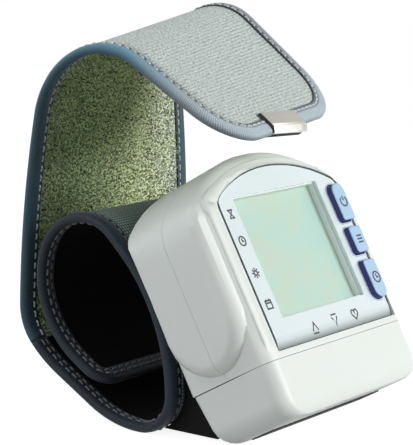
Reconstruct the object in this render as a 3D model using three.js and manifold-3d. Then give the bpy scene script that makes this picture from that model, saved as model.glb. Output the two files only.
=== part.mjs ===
// Wrist blood pressure monitor: a leaning display unit seated on a spiral cuff strap with an open free end.
// Lengths are millimetres and angles are degrees. The unit is modelled in its own axes, u up the display,
// v across it and w out of it, with zero at the middle of the display window, and is leaned as one group.
// The strap is walked in the upright plane as a chain of bends and runs, from the hinge line both ways.
import * as THREE from "three";
import { mergeVertices, toCreasedNormals } from "three/addons/utils/BufferGeometryUtils.js";
import Module from "manifold-3d";

const wasm = await Module();
wasm.setup();

// Fits and fineness
const GAP = 0.3;
const OVERRUN = 2;
const ARCH_STEPS = 14;
const CORNER_STEPS = 5;
const ROUND_SIDES = 16;
const BACK_SIDES = 72;
const EDGE_STEPS = 3;
const CREASE_ANGLE = 30;
const QUARTER_TURN = 90;
const HALF_TURN = 180;

// Display window and glass
const WINDOW_LENGTH = 34.5;
const WINDOW_WIDTH = 38.8;
const GLASS_MARGIN = 1.2;
const GLASS_THICKNESS = 2;
const FRAME_WALL = 0.8;
const FRAME_LEDGE = 1;
const CONNECTOR_WIDTH = 2.5;
const CONNECTOR_MARGIN = 2.5;

// Buttons: where each starts and ends up the display, and the radius of its lower and upper corners
const BUTTON_SPANS = {
  time_button: { low: -19.8, high: -8.5, lowRadius: 2.5, highRadius: 0.9 },
  memory_button: { low: -6, high: 1.8, lowRadius: 0.9, highRadius: 0.9 },
  power_button: { low: 4, high: 15.2, lowRadius: 0.9, highRadius: 2.5 },
};
const BUTTON_HALF_WIDTH = 2.8;
const BUTTON_SET_OFF = 3.6;
const BUTTON_CENTRE = -(WINDOW_WIDTH / 2 + BUTTON_SET_OFF + BUTTON_HALF_WIDTH);
const BUTTON_HEIGHT = 1.7;
const BUTTON_SLIDE_GAP = 0.35;
const BUTTON_FLANGE = 0.8;
const BUTTON_FLANGE_THICKNESS = 0.8;
const BUTTON_TRAVEL = 0.7;
const BUTTON_EDGE = 0.4;
const PAD_THICKNESS = 0.8;
const PAD_MARGIN = 0.3;
const PAD_DOME_RADIUS = 1.9;

// Display panel: it holds the window with room for marks on the near side and the buttons on the far side
const PANEL_NEAR_MARGIN = 9.3;
const PANEL_FAR_MARGIN = 0.5;
const PANEL_NEAR = WINDOW_WIDTH / 2 + PANEL_NEAR_MARGIN;
const PANEL_FAR = BUTTON_CENTRE - BUTTON_HALF_WIDTH - PANEL_FAR_MARGIN;
const PANEL_HALF_WIDTH = (PANEL_NEAR - PANEL_FAR) / 2;
const PANEL_SHIFT = (PANEL_NEAR + PANEL_FAR) / 2;
const PANEL_TOP = 24.7;
const PANEL_FOOT = 25.7;
const PANEL_ARCH_RADIUS = 56;
const PANEL_CORNER_RADIUS = 3.5;
const PANEL_THICKNESS = 1;

// Two AAA cells, one behind the other
const CELL_RADIUS = 5.25;
const CELL_LENGTH = 44.5;
const CELL_NUB_RADIUS = 1.9;
const CELL_NUB_LENGTH = 1;
const CELL_PITCH = 11;
const CELL_FRONT_DEPTH = 6.9;
const CELL_BACK_ROOM = 3.85;

// Case shells: deep enough for the cells
const LEAN_ANGLE = 29;
const CASE_NEAR_RIM = 6.4;
const CASE_FAR_RIM = 2.8;
const CASE_HALF_WIDTH = PANEL_HALF_WIDTH + (CASE_NEAR_RIM + CASE_FAR_RIM) / 2;
const CASE_SHIFT = PANEL_SHIFT + (CASE_NEAR_RIM - CASE_FAR_RIM) / 2;
const CASE_TOP = 27.4;
const CASE_FOOT = 27.4;
const CASE_BACK = CELL_FRONT_DEPTH + CELL_PITCH + CELL_RADIUS + CELL_BACK_ROOM;
const CASE_ARCH_RADIUS = 66;
const CASE_CORNER_RADIUS = 9;
const CASE_WALL = 1.8;
const RIM_HEIGHT = 1.2;
const FRONT_EDGE_RADIUS = 5;
const BACK_EDGE_RADIUS = 1.5;
const PARTING_DEPTH = 13.3;
const FLOOR_THICKNESS = 1.5;

// Raised hood round the sides and top of the shells
const HOOD_PROUD = 2.9;
const HOOD_HALF_WIDTH = CASE_HALF_WIDTH + HOOD_PROUD;
const HOOD_TOP = 30;
const HOOD_FOOT = 25.7;
const HOOD_FRONT_DEPTH = 0.3;
const HOOD_ARCH_RADIUS = 52;
const HOOD_CORNER_RADIUS = 13;
const HOOD_EDGE_RADIUS = 4;
const HOOD_SHOULDER_RADIUS = 4.5;

// Hollow of the back that the cuff follows
const SEAT_RADIUS = 53.6;
const SEAT_HOLLOW = 2.1;
const SEAT_APEX_DEPTH = CASE_BACK - SEAT_HOLLOW;
const SEAT_CENTRE = 1;
const POCKET_DEPTH = 1.6;
const POCKET_SIDE_WALL = 3.7;
const POCKET_HALF_WIDTH = CASE_HALF_WIDTH - POCKET_SIDE_WALL;
const POCKET_TOP = 13.4;

// Circuit board and what it carries
const BOARD_DEPTH = 6.7;
const BOARD_THICKNESS = 1.2;
const BOARD_SETBACK = 2.9;
const BOARD_HALF_WIDTH = CASE_HALF_WIDTH - BOARD_SETBACK;
const BOARD_TOP = 23.6;
const BOARD_FOOT = 24.6;
const BOARD_CORNER_RADIUS = 7;
const BEEPER_RADIUS = 5;
const BEEPER_HEIGHT = 2.4;
const SENSOR_LENGTH = 8;
const SENSOR_WIDTH = 7;
const SENSOR_HEIGHT = 4.4;

// Screws and their bosses
const SCREW_UPPER = 19.8;
const SCREW_UPPER_SETBACK = 8.9;
const SCREW_UPPER_ACROSS = CASE_HALF_WIDTH - SCREW_UPPER_SETBACK;
const SCREW_LOWER = -24;
const SCREW_LOWER_SETBACK = 6.2;
const SCREW_LOWER_ACROSS = CASE_HALF_WIDTH - SCREW_LOWER_SETBACK;
const SCREW_SHANK_RADIUS = 0.95;
const SCREW_HEAD_RADIUS = 1.9;
const SCREW_HEAD_HEIGHT = 1.6;
const SCREW_LENGTH = 12;
const BOSS_RADIUS = 2.5;
const WELL_TUBE_RADIUS = 3.3;
const SCREW_WELL_DEPTH = 7.2;
const SCREW_WELL_FLOOR_DEPTH = CASE_BACK - SCREW_WELL_DEPTH;

// Pump train
const PUMP_CENTRE = 15;
const PUMP_WIDTH = 13.4;
const PUMP_HEIGHT = 10.8;
const PUMP_HEAD_WIDTH = 15;
const PUMP_HEAD_CORNER_RADIUS = 2.7;
const MOTOR_START = -3.6;
const MOTOR_LENGTH = 18;
const PUMP_HEAD_LENGTH = 10;
const NIPPLE_RADIUS = 1.3;
const NIPPLE_LENGTH = 2.2;
const VALVE_RADIUS = 4;
const VALVE_LENGTH = 11;
const VALVE_PLACE = { up: -15, across: -11 };
const SENSOR_PLACE = { up: -13, across: 15 };
const BEEPER_PLACE = { up: 0, across: 21 };
const MANIFOLD_HALF = 3.6;
const MANIFOLD_HEIGHT = 5;
const NOZZLE_RADIUS = 1.8;
const TUBE_RADIUS = 1.3;
const TUBE_REACH = 3.5;
const TUBE_SIDES = 8;
const TUBE_STEPS = 10;

// Battery compartment at the lower end: two AAA cells lie across the unit
const COVER_END = 43.4;
const COVER_FRONT_TAPER = 0.6;
const COVER_BACK_SETBACK = 0.3;
const COVER_BACK_TAPER = 2.2;
const COVER_SIDE_RADIUS = 5;
const COVER_BACK_RADIUS = 2;
const COVER_END_ROUNDING = { side: 6, back: 3, front: 1 };
const COVER_END_STEPS = 5;
const COVER_WALL = 1.8;
const GRIP_GROOVES = 4;
const GRIP_PITCH = 2.2;
const GRIP_HALF_GROOVE = 0.55;
const GRIP_DEPTH = 0.5;
const GRIP_HALF_WIDTH = 12;
const GRIP_START = 31.4;
const TRAY_THICKNESS = 1;
const TRAY_WALL = 1.2;
const TRAY_WALL_LENGTH = 10;
const TRAY_MARGIN = 0.8;
const CONTACT_THICKNESS = 0.4;
const CONTACT_HALF_LENGTH = 4.2;
const CONTACT_BUMP_LENGTH = 1;
const CONTACT_BUMP_RADIUS = 2.2;

// Cuff strap: width, layers and edge tape
const STRAP_PROUD = 0.6;
const STRAP_HALF_WIDTH = HOOD_HALF_WIDTH + STRAP_PROUD;
const COVER_CLOTH = 0.8;
const LINING_CLOTH = 0.8;
const TAPE_WIDTH = 5;
const TAPE_PROUD = 0.15;
const STIFFENER_THICKNESS = 0.6;
const BLADDER_THICKNESS = 1.2;
const BLADDER_MARGIN = 3.4;
const STIFFENER_MARGIN = 1.6;
const SWELL_RAMP = 5;
const SWELL_RISE_SHARE = 0.5;
const CUFF_SEAT_GAP = 0.5;
const STATION_ANGLE = 13;
const STATION_LENGTH = 20;

// Loop of the cuff, from its seat on the case back down, round the floor and up to the hinge
const SEAT_LOWER_TURN = 29;
const HEEL_RADIUS = 11.5;
const HEEL_TURN = 90;
const SOLE_RADIUS = 34;
const SOLE_TURN = 30;
const FLANK_LENGTH = 14;
const HINGE_BEND_RADIUS = 43;
const HINGE_BEND_TURN = 16;

// Loop of the cuff, from its seat up, over the top and round to its inner end
const SEAT_UPPER_TURN = 17;
const CREST_RUN = 5.2;
const CREST_RADIUS = 15.6;
const CREST_TURN = 44;
const BROW_RADIUS = 16.5;
const BROW_TURN = 70;
const CHEEK_RADIUS = 24;
const CHEEK_TURN = 45;
const JAW_RADIUS = 30;
const JAW_TURN = 30;
const INNER_END_LENGTH = 13;
const INNER_END_TURN = 10;
const INNER_CORNER_RADIUS = 7;

// Free strap: a shared curl at the hinge, then a near and a far edge that bend differently
const CURL_RADIUS = 15.5;
const CURL_TURN = 46;
const NEAR_RISE_LENGTH = 54.5;
const NEAR_RISE_TURN = 10.1;
const NEAR_BEND_RADIUS = 24.7;
const NEAR_BEND_TURN = 108.3;
const NEAR_RUN = 38.1;
const FAR_RISE_LENGTH = 62;
const FAR_RISE_TURN = 8;
const FAR_BEND_RADIUS = 18.1;
const FAR_BEND_TURN = 133.5;
const FAR_RUN = 41.3;
const TIP_RADIUS = 17;
const PILE_CLOTH = 1.1;
const CLIP_HALF_WIDTH = 9.4;
const CLIP_SHIFT = -3.6;
const CLIP_LENGTH = 5.6;
const CLIP_THICKNESS = 0.5;

// Bracket that holds the cuff to the case
const BRACKET_TOP = 12.8;
const BRACKET_HALF_WIDTH = POCKET_HALF_WIDTH - GAP;
const BRACKET_FOOT_CLEARANCE = 0.6;

const radians = THREE.MathUtils.degToRad;
const vec = (x, y, z) => new THREE.Vector3(x, y, z);

// Shared solids

// Turns index order round where a hand-made solid came out facing in.
function faceOut(positions, faces) {
  let volume = 0;
  const corner = (i) => vec(positions[3 * i], positions[3 * i + 1], positions[3 * i + 2]);
  for (let i = 0; i < faces.length; i += 3) {
    const [a, b, c] = [corner(faces[i]), corner(faces[i + 1]), corner(faces[i + 2])];
    volume += a.dot(b.cross(c));
  }
  return volume < 0 ? faces.reverse() : faces;
}

// Skins a list of rings with as many points each, over each gap's shorter diagonal, and closes both ends
// by pairing each point with its mirror.
function loft(rings) {
  const count = rings[0].length;
  const positions = rings.flat().flatMap((p) => [p.x, p.y, p.z]);
  const faces = [];
  for (let r = 0; r + 1 < rings.length; r++) {
    for (let i = 0; i < count; i++) {
      const j = (i + 1) % count;
      const [a, b, c, d] = [r * count + i, r * count + j, (r + 1) * count + j, (r + 1) * count + i];
      const straight = rings[r][i].distanceTo(rings[r + 1][j]) <= rings[r][j].distanceTo(rings[r + 1][i]);
      faces.push(...(straight ? [a, b, c, a, c, d] : [a, b, d, b, c, d]));
    }
  }
  const last = (rings.length - 1) * count;
  for (let i = 0; 2 * i + 2 < count; i++) {
    const j = count - 1 - i;
    faces.push(i, j, i + 1, last + i, last + i + 1, last + j);
    if (i + 1 < j - 1) faces.push(i + 1, j, j - 1, last + i + 1, last + j - 1, last + j);
  }
  const geometry = new THREE.BufferGeometry();
  geometry.setAttribute("position", new THREE.Float32BufferAttribute(positions, 3));
  geometry.setIndex(faceOut(positions, faces));
  return geometry;
}

function solid(geometry) {
  const bare = geometry.clone();
  bare.deleteAttribute("normal");
  bare.deleteAttribute("uv");
  const merged = mergeVertices(bare);
  return new wasm.Manifold(
    new wasm.Mesh({
      numProp: 3,
      vertProperties: merged.attributes.position.array,
      triVerts: new Uint32Array(merged.index.array),
    }),
  );
}

function geometryOf(body) {
  const mesh = body.getMesh();
  const geometry = new THREE.BufferGeometry();
  geometry.setAttribute("position", new THREE.BufferAttribute(mesh.vertProperties, 3));
  geometry.setIndex(new THREE.BufferAttribute(mesh.triVerts, 1));
  return geometry;
}

const join = (...bodies) => bodies.reduce((whole, body) => whole.add(body));
const cut = (body, ...cutters) => cutters.reduce((left, cutter) => left.subtract(cutter), body);

// A box between two values along each of u, v and w.
function block([u0, u1], [v0, v1], [w0, w1]) {
  const box = new THREE.BoxGeometry(u1 - u0, v1 - v0, w1 - w0);
  box.translate((u0 + u1) / 2, (v0 + v1) / 2, (w0 + w1) / 2);
  return solid(box);
}

// A cylinder between two values along one axis, at a place given by the two other coordinates.
function rod(axis, radius, from, to, [first, second], sides = ROUND_SIDES) {
  const cylinder = new THREE.CylinderGeometry(radius, radius, to - from, sides);
  const middle = (from + to) / 2;
  if (axis === "v") cylinder.translate(first, middle, second);
  if (axis === "w") cylinder.rotateX(Math.PI / 2).translate(first, second, middle);
  if (axis === "u") cylinder.rotateZ(-Math.PI / 2).translate(middle, first, second);
  return solid(cylinder);
}

// Extrudes an outline drawn in u and v along w.
function extrudeOut(shape, from, to) {
  const geometry = new THREE.ExtrudeGeometry(shape, {
    depth: to - from,
    bevelEnabled: false,
    curveSegments: CORNER_STEPS,
  });
  return solid(geometry.translate(0, 0, from));
}

// Extrudes an outline drawn in u and w across the unit, as far to each side.
function extrudeAcross(shape, halfWidth, curveSegments = CORNER_STEPS) {
  const geometry = new THREE.ExtrudeGeometry(shape, {
    depth: 2 * halfWidth,
    bevelEnabled: false,
    curveSegments,
  });
  return solid(geometry.translate(0, 0, -halfWidth).rotateX(Math.PI / 2));
}

function sweep(centreA, centreB, radius, from, to, steps) {
  return Array.from({ length: steps + 1 }, (_, i) => {
    const angle = from + ((to - from) * i) / steps;
    return [centreA + radius * Math.cos(angle), centreB + radius * Math.sin(angle)];
  });
}

// A rectangle whose corners are rounded, more at one end than at the other where two radii are given.
function roundedRectangle([a0, a1], [b0, b1], lowRadius, highRadius = lowRadius) {
  const shape = new THREE.Shape();
  shape.absarc(a0 + lowRadius, b0 + lowRadius, lowRadius, Math.PI, 1.5 * Math.PI, false);
  shape.absarc(a1 - highRadius, b0 + highRadius, highRadius, 1.5 * Math.PI, 2 * Math.PI, false);
  shape.absarc(a1 - highRadius, b1 - highRadius, highRadius, 0, Math.PI / 2, false);
  shape.absarc(a0 + lowRadius, b1 - lowRadius, lowRadius, Math.PI / 2, Math.PI, false);
  return shape;
}

// Outline of a flat foot, straight sides, round shoulders and a shallow arch, as a ring of points at one w.
function archRing({ half, top, foot, archRadius, cornerRadius, shift = 0 }, w) {
  const archCentre = top - archRadius;
  const cornerV = half - cornerRadius;
  const cornerU = archCentre + Math.sqrt((archRadius - cornerRadius) ** 2 - cornerV ** 2);
  const tilt = Math.atan2(cornerV, cornerU - archCentre);
  const right = sweep(cornerU, -cornerV, cornerRadius, -Math.PI / 2, -tilt, CORNER_STEPS);
  const arch = sweep(archCentre, 0, archRadius, -tilt, tilt, ARCH_STEPS).slice(1, -1);
  const left = sweep(cornerU, cornerV, cornerRadius, tilt, Math.PI / 2, CORNER_STEPS);
  const outline = [[-foot, -half], ...right, ...arch, ...left, [-foot, half]];
  return outline.map(([u, v]) => vec(u, v + shift, w));
}

// The same outline drawn in at its sides and top.
function inset(arch, distance) {
  return {
    ...arch,
    half: arch.half - distance,
    top: arch.top - distance,
    archRadius: arch.archRadius - distance,
    cornerRadius: arch.cornerRadius - distance,
  };
}

function archPrism(arch, from, to) {
  return solid(loft([archRing(arch, from), archRing(arch, to)]));
}

// An arched body whose back and front edges are rounded.
function roundedArch(arch, [back, front], backRadius, frontRadius) {
  const rings = [];
  const ring = (edge, radius, i) => {
    const angle = (Math.PI / 2) * (i / EDGE_STEPS);
    const drawn = Math.abs(radius) * (1 - Math.sin(angle));
    rings.push(archRing(inset(arch, drawn), edge + radius * (1 - Math.cos(angle))));
  };
  for (let i = 0; i <= EDGE_STEPS; i++) ring(back, backRadius, i);
  for (let i = EDGE_STEPS; i >= 0; i--) ring(front, -frontRadius, i);
  return solid(loft(rings));
}

// Outlines of the case
const CORE = {
  half: CASE_HALF_WIDTH,
  top: CASE_TOP,
  foot: CASE_FOOT,
  archRadius: CASE_ARCH_RADIUS,
  cornerRadius: CASE_CORNER_RADIUS,
  shift: CASE_SHIFT,
};
const HOOD = {
  half: HOOD_HALF_WIDTH,
  top: HOOD_TOP,
  foot: CASE_FOOT,
  archRadius: HOOD_ARCH_RADIUS,
  cornerRadius: HOOD_CORNER_RADIUS,
  shift: CASE_SHIFT,
};
const PANEL = {
  half: PANEL_HALF_WIDTH,
  top: PANEL_TOP,
  foot: PANEL_FOOT,
  archRadius: PANEL_ARCH_RADIUS,
  cornerRadius: PANEL_CORNER_RADIUS,
  shift: PANEL_SHIFT,
};
const PANEL_SEAT_DEPTH = PANEL_THICKNESS + GAP;
const CASE_FLOOR_DEPTH = PANEL_SEAT_DEPTH + FLOOR_THICKNESS;
const CASE_INNER_DEPTH = SEAT_APEX_DEPTH - POCKET_DEPTH - CASE_WALL;
const SEAT_AXIS_DEPTH = SEAT_APEX_DEPTH + SEAT_RADIUS;
const SCREW_PLACES = [
  [SCREW_UPPER, -SCREW_UPPER_ACROSS],
  [SCREW_UPPER, SCREW_UPPER_ACROSS],
  [SCREW_LOWER, CASE_SHIFT - SCREW_LOWER_ACROSS],
  [SCREW_LOWER, CASE_SHIFT + SCREW_LOWER_ACROSS],
];

// Seen from the side the hood ends below in a half round as deep as itself, and rounds over to the sides.
function hoodSide(wall) {
  const [back, front] = [-CASE_BACK + wall, -HOOD_FRONT_DEPTH - wall];
  const centreU = -HOOD_FOOT + (CASE_BACK - HOOD_FRONT_DEPTH) / 2;
  const centreW = (back + front) / 2;
  const edgeRadius = HOOD_EDGE_RADIUS - wall / 2;
  const half = HOOD_HALF_WIDTH - wall;
  const rings = [];
  const ring = (side, i) => {
    const angle = (Math.PI / 2) * (i / EDGE_STEPS);
    const radius = (front - back) / 2 - edgeRadius * (1 - Math.sin(angle));
    const end = sweep(centreU, centreW, radius, 1.5 * Math.PI, Math.PI / 2, 2 * CORNER_STEPS);
    const above = HOOD_TOP + OVERRUN;
    const outline = [[above, centreW - radius], ...end, [above, centreW + radius]];
    const v = CASE_SHIFT + side * (half - edgeRadius * (1 - Math.cos(angle)));
    rings.push(outline.map(([u, w]) => vec(u, v, w)));
  };
  for (let i = 0; i <= EDGE_STEPS; i++) ring(-1, i);
  for (let i = EDGE_STEPS; i >= 0; i--) ring(1, i);
  return solid(loft(rings));
}

// The hood's arch, drawn in at its top where it meets the front.
function hoodArch() {
  const rings = [archRing(HOOD, -CASE_BACK)];
  for (let i = EDGE_STEPS; i >= 0; i--) {
    const angle = (Math.PI / 2) * (i / EDGE_STEPS);
    const drawn = HOOD_EDGE_RADIUS * (1 - Math.sin(angle));
    const arch = { ...HOOD, top: HOOD_TOP - drawn, archRadius: HOOD_ARCH_RADIUS - drawn };
    rings.push(archRing(arch, -HOOD_FRONT_DEPTH - HOOD_EDGE_RADIUS * (1 - Math.cos(angle))));
  }
  return solid(loft(rings));
}

// Side view that rounds the top of the back.
function shoulderSide() {
  const shape = new THREE.Shape();
  shape.moveTo(HOOD_TOP, RIM_HEIGHT + OVERRUN);
  shape.lineTo(-CASE_FOOT - OVERRUN, RIM_HEIGHT + OVERRUN);
  shape.lineTo(-CASE_FOOT - OVERRUN, -CASE_BACK);
  const radius = HOOD_SHOULDER_RADIUS;
  shape.absarc(HOOD_TOP - radius, radius - CASE_BACK, radius, -Math.PI / 2, 0, false);
  return extrudeAcross(shape, HOOD_HALF_WIDTH + OVERRUN);
}

function caseOutside() {
  const core = roundedArch(CORE, [-CASE_BACK, RIM_HEIGHT], BACK_EDGE_RADIUS, FRONT_EDGE_RADIUS);
  return core.add(hoodArch().intersect(hoodSide(0))).intersect(shoulderSide());
}

// Hollow of the shells, between two depths.
function caseInside(from, to) {
  const core = archPrism({ ...inset(CORE, CASE_WALL), foot: CASE_FOOT - CASE_WALL }, from, to);
  const hood = archPrism(inset(HOOD, CASE_WALL), from, to);
  return core.add(hood.intersect(hoodSide(CASE_WALL)));
}

// A slice of the case between two depths, wider than the case all round.
function slab(from, to) {
  const reach = HOOD_HALF_WIDTH + OVERRUN;
  return block([-reach, reach], [-reach, reach], [from, to]);
}

const OUTSIDE = caseOutside();

function buttonOutline({ low, high, lowRadius, highRadius }, grow) {
  const halfWidth = BUTTON_HALF_WIDTH + grow;
  return roundedRectangle(
    [low - grow, high + grow],
    [BUTTON_CENTRE - halfWidth, BUTTON_CENTRE + halfWidth],
    lowRadius + Math.max(grow, 0),
    highRadius + Math.max(grow, 0),
  );
}

function buttonHoles(from, to) {
  return join(
    ...Object.values(BUTTON_SPANS).map((span) =>
      extrudeOut(buttonOutline(span, BUTTON_SLIDE_GAP), from, to)),
  );
}

function windowCutter(grow, from, to) {
  const halfLength = WINDOW_LENGTH / 2 + grow;
  const halfWidth = WINDOW_WIDTH / 2 + grow;
  return block([-halfLength, halfLength], [-halfWidth, halfWidth], [from, to]);
}

function frontCover() {
  const shell = OUTSIDE.intersect(slab(-PARTING_DEPTH + GAP / 2, RIM_HEIGHT + OVERRUN));
  const hollow = caseInside(-PARTING_DEPTH - OVERRUN, -CASE_FLOOR_DEPTH);
  const recess = archPrism(PANEL, -PANEL_SEAT_DEPTH, RIM_HEIGHT + OVERRUN);
  const opened = cut(
    shell,
    hollow,
    recess,
    windowCutter(0, -CASE_FLOOR_DEPTH - OVERRUN, 0),
    buttonHoles(-CASE_FLOOR_DEPTH - OVERRUN, 0),
  );
  const bosses = SCREW_PLACES.map((place) =>
    rod("w", BOSS_RADIUS, -PARTING_DEPTH + GAP / 2, -PANEL_SEAT_DEPTH - GAP, place));
  const pilots = SCREW_PLACES.map((place) =>
    rod("w", SCREW_SHANK_RADIUS + GAP, -PARTING_DEPTH - OVERRUN, -CASE_FLOOR_DEPTH - CASE_WALL, place));
  return cut(join(opened, ...bosses), ...pilots);
}

function seatCutter(radius) {
  const shape = new THREE.Shape();
  shape.absarc(SEAT_CENTRE, -SEAT_AXIS_DEPTH, radius, 0, 2 * Math.PI, false);
  return extrudeAcross(shape, HOOD_HALF_WIDTH + OVERRUN, BACK_SIDES);
}

function rearCover() {
  const shell = OUTSIDE.intersect(slab(-CASE_BACK - OVERRUN, -PARTING_DEPTH - GAP / 2));
  const hollow = caseInside(-CASE_INNER_DEPTH, -PARTING_DEPTH + OVERRUN);
  const pocketReach = block(
    [-CASE_FOOT, POCKET_TOP],
    [CASE_SHIFT - POCKET_HALF_WIDTH, CASE_SHIFT + POCKET_HALF_WIDTH],
    [-CASE_BACK - OVERRUN, -CASE_INNER_DEPTH],
  );
  const pocket = seatCutter(SEAT_RADIUS + POCKET_DEPTH).intersect(pocketReach);
  const bosses = SCREW_PLACES.map((place) =>
    rod("w", WELL_TUBE_RADIUS, -CASE_INNER_DEPTH - CASE_WALL / 2, -PARTING_DEPTH - GAP / 2, place));
  const wells = SCREW_PLACES.flatMap((place) => [
    rod("w", SCREW_HEAD_RADIUS + GAP, -CASE_BACK - OVERRUN, -SCREW_WELL_FLOOR_DEPTH, place),
    rod("w", SCREW_SHANK_RADIUS + GAP, -CASE_BACK, -PARTING_DEPTH + OVERRUN, place),
  ]);
  const nozzleHole = rod("w", NOZZLE_RADIUS + GAP, -CASE_BACK, -PARTING_DEPTH, [SEAT_CENTRE, 0]);
  const shellWithBosses = join(cut(shell, hollow), ...bosses);
  return cut(shellWithBosses, seatCutter(SEAT_RADIUS), pocket, ...wells, nozzleHole);
}

// Depth of the battery cover's back, which leans in towards its end.
function coverBack(share) {
  return -CASE_BACK + COVER_BACK_SETBACK + COVER_BACK_TAPER * share;
}

// Section of the battery cover at one height, drawn in by a share of its end rounding.
function coverRing(u, drawn, wall) {
  const share = (-u - CASE_FOOT) / (COVER_END - CASE_FOOT);
  const half = CASE_HALF_WIDTH - wall - COVER_END_ROUNDING.side * drawn;
  const front = RIM_HEIGHT - COVER_FRONT_TAPER * share - wall - COVER_END_ROUNDING.front * drawn;
  const back = coverBack(share) + wall + COVER_END_ROUNDING.back * drawn;
  const frontRadius = COVER_SIDE_RADIUS - wall / 2;
  const backRadius = COVER_BACK_RADIUS - wall / 2;
  const corner = (v, w, radius, from) =>
    sweep(v, w, radius, from, from + Math.PI / 2, CORNER_STEPS)
      .map(([across, out]) => vec(u, across + CASE_SHIFT, out));
  return [
    ...corner(half - backRadius, back + backRadius, backRadius, -Math.PI / 2),
    ...corner(half - frontRadius, front - frontRadius, frontRadius, 0),
    ...corner(-half + frontRadius, front - frontRadius, frontRadius, Math.PI / 2),
    ...corner(-half + backRadius, back + backRadius, backRadius, Math.PI),
  ];
}

function coverBody(start, end, wall) {
  const rings = [coverRing(start, 0, wall)];
  for (let i = 0; i <= COVER_END_STEPS; i++) {
    const angle = (Math.PI / 2) * (i / COVER_END_STEPS);
    const u = end + COVER_END_ROUNDING.side * (1 - Math.sin(angle));
    rings.push(coverRing(u, 1 - Math.cos(angle), wall));
  }
  return solid(loft(rings));
}

function batteryCover() {
  const start = -CASE_FOOT - GAP;
  const outer = coverBody(start, -COVER_END, 0);
  const inner = coverBody(start + OVERRUN, -COVER_END + COVER_WALL, COVER_WALL);
  const grooves = Array.from({ length: GRIP_GROOVES }, (_, i) => {
    const u = -GRIP_START - i * GRIP_PITCH;
    const share = (-u - CASE_FOOT) / (COVER_END - CASE_FOOT);
    const back = coverBack(share);
    return block(
      [u - GRIP_HALF_GROOVE, u + GRIP_HALF_GROOVE],
      [CASE_SHIFT - GRIP_HALF_WIDTH, CASE_SHIFT + GRIP_HALF_WIDTH],
      [back - OVERRUN, back + GRIP_DEPTH],
    );
  });
  return cut(outer, inner, ...grooves);
}

function displayPanel() {
  const plate = archPrism(inset(PANEL, GAP), -PANEL_THICKNESS, 0);
  const foot = block(
    [-PANEL_FOOT - OVERRUN, -PANEL_FOOT + GAP],
    [-CASE_HALF_WIDTH, CASE_HALF_WIDTH],
    [-PANEL_THICKNESS - OVERRUN, OVERRUN],
  );
  return cut(
    plate,
    foot,
    windowCutter(GAP, -PANEL_THICKNESS - OVERRUN, OVERRUN),
    buttonHoles(-PANEL_THICKNESS - OVERRUN, OVERRUN),
  );
}

const GLASS_TOP = -CASE_FLOOR_DEPTH - GAP;
const GLASS_BOTTOM = GLASS_TOP - GLASS_THICKNESS;
const FRAME_BOTTOM = -BOARD_DEPTH + GAP;

function lcdFrame() {
  const grow = GLASS_MARGIN + GAP;
  return cut(
    windowCutter(grow + FRAME_WALL, FRAME_BOTTOM, GLASS_TOP),
    windowCutter(grow, GLASS_BOTTOM - GAP, GLASS_TOP + OVERRUN),
    windowCutter(grow - FRAME_LEDGE - GAP, FRAME_BOTTOM - OVERRUN, GLASS_TOP),
  );
}

function lcdConnector() {
  const low = -WINDOW_LENGTH / 2 + GAP;
  const halfWidth = WINDOW_WIDTH / 2 - CONNECTOR_MARGIN;
  return block(
    [low, low + CONNECTOR_WIDTH], [-halfWidth, halfWidth], [FRAME_BOTTOM, GLASS_BOTTOM - GAP]);
}

function button(span) {
  const flangeTop = -CASE_FLOOR_DEPTH - GAP;
  const cap = new THREE.ExtrudeGeometry(buttonOutline(span, 0), {
    depth: BUTTON_HEIGHT - BUTTON_EDGE - flangeTop,
    bevelEnabled: true,
    bevelThickness: BUTTON_EDGE,
    bevelSize: BUTTON_EDGE,
    bevelOffset: -BUTTON_EDGE,
    bevelSegments: EDGE_STEPS,
    curveSegments: CORNER_STEPS,
  });
  cap.translate(0, 0, flangeTop);
  const flange = extrudeOut(
    buttonOutline(span, BUTTON_FLANGE), flangeTop - BUTTON_FLANGE_THICKNESS, flangeTop);
  return join(solid(cap), flange);
}

function buttonPad() {
  const spans = Object.values(BUTTON_SPANS);
  const base = -BOARD_DEPTH + GAP;
  const reach = BUTTON_FLANGE + PAD_MARGIN;
  const low = Math.min(...spans.map((span) => span.low)) - PAD_MARGIN;
  const high = Math.max(...spans.map((span) => span.high)) + PAD_MARGIN;
  const sheet = block(
    [low, high],
    [BUTTON_CENTRE - BUTTON_HALF_WIDTH - reach, BUTTON_CENTRE + BUTTON_HALF_WIDTH + BUTTON_FLANGE],
    [base, base + PAD_THICKNESS],
  );
  const domeTop = -CASE_FLOOR_DEPTH - GAP - BUTTON_FLANGE_THICKNESS - BUTTON_TRAVEL - GAP / 2;
  const domes = spans.map(({ low: from, high: to }) =>
    rod("w", PAD_DOME_RADIUS, base + PAD_THICKNESS / 2, domeTop, [(from + to) / 2, BUTTON_CENTRE]));
  return join(sheet, ...domes);
}

const BOARD_BACK = -BOARD_DEPTH - BOARD_THICKNESS;

function circuitBoard() {
  const board = {
    half: BOARD_HALF_WIDTH,
    top: BOARD_TOP,
    foot: BOARD_FOOT,
    archRadius: CASE_ARCH_RADIUS,
    cornerRadius: BOARD_CORNER_RADIUS,
    shift: CASE_SHIFT,
  };
  const holes = SCREW_PLACES.map((place) =>
    rod("w", BOSS_RADIUS + GAP, BOARD_BACK - OVERRUN, -BOARD_DEPTH + OVERRUN, place));
  return cut(archPrism(board, BOARD_BACK, -BOARD_DEPTH), ...holes);
}

function caseScrew(place) {
  const seat = -SCREW_WELL_FLOOR_DEPTH - GAP;
  return join(
    rod("w", SCREW_HEAD_RADIUS, seat - SCREW_HEAD_HEIGHT, seat, place),
    rod("w", SCREW_SHANK_RADIUS, seat - SCREW_HEAD_HEIGHT / 2, seat + SCREW_LENGTH, place),
  );
}

const PUMP_TOP = BOARD_BACK - GAP;
const PUMP_AXIS = PUMP_TOP - PUMP_HEIGHT / 2;

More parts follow.
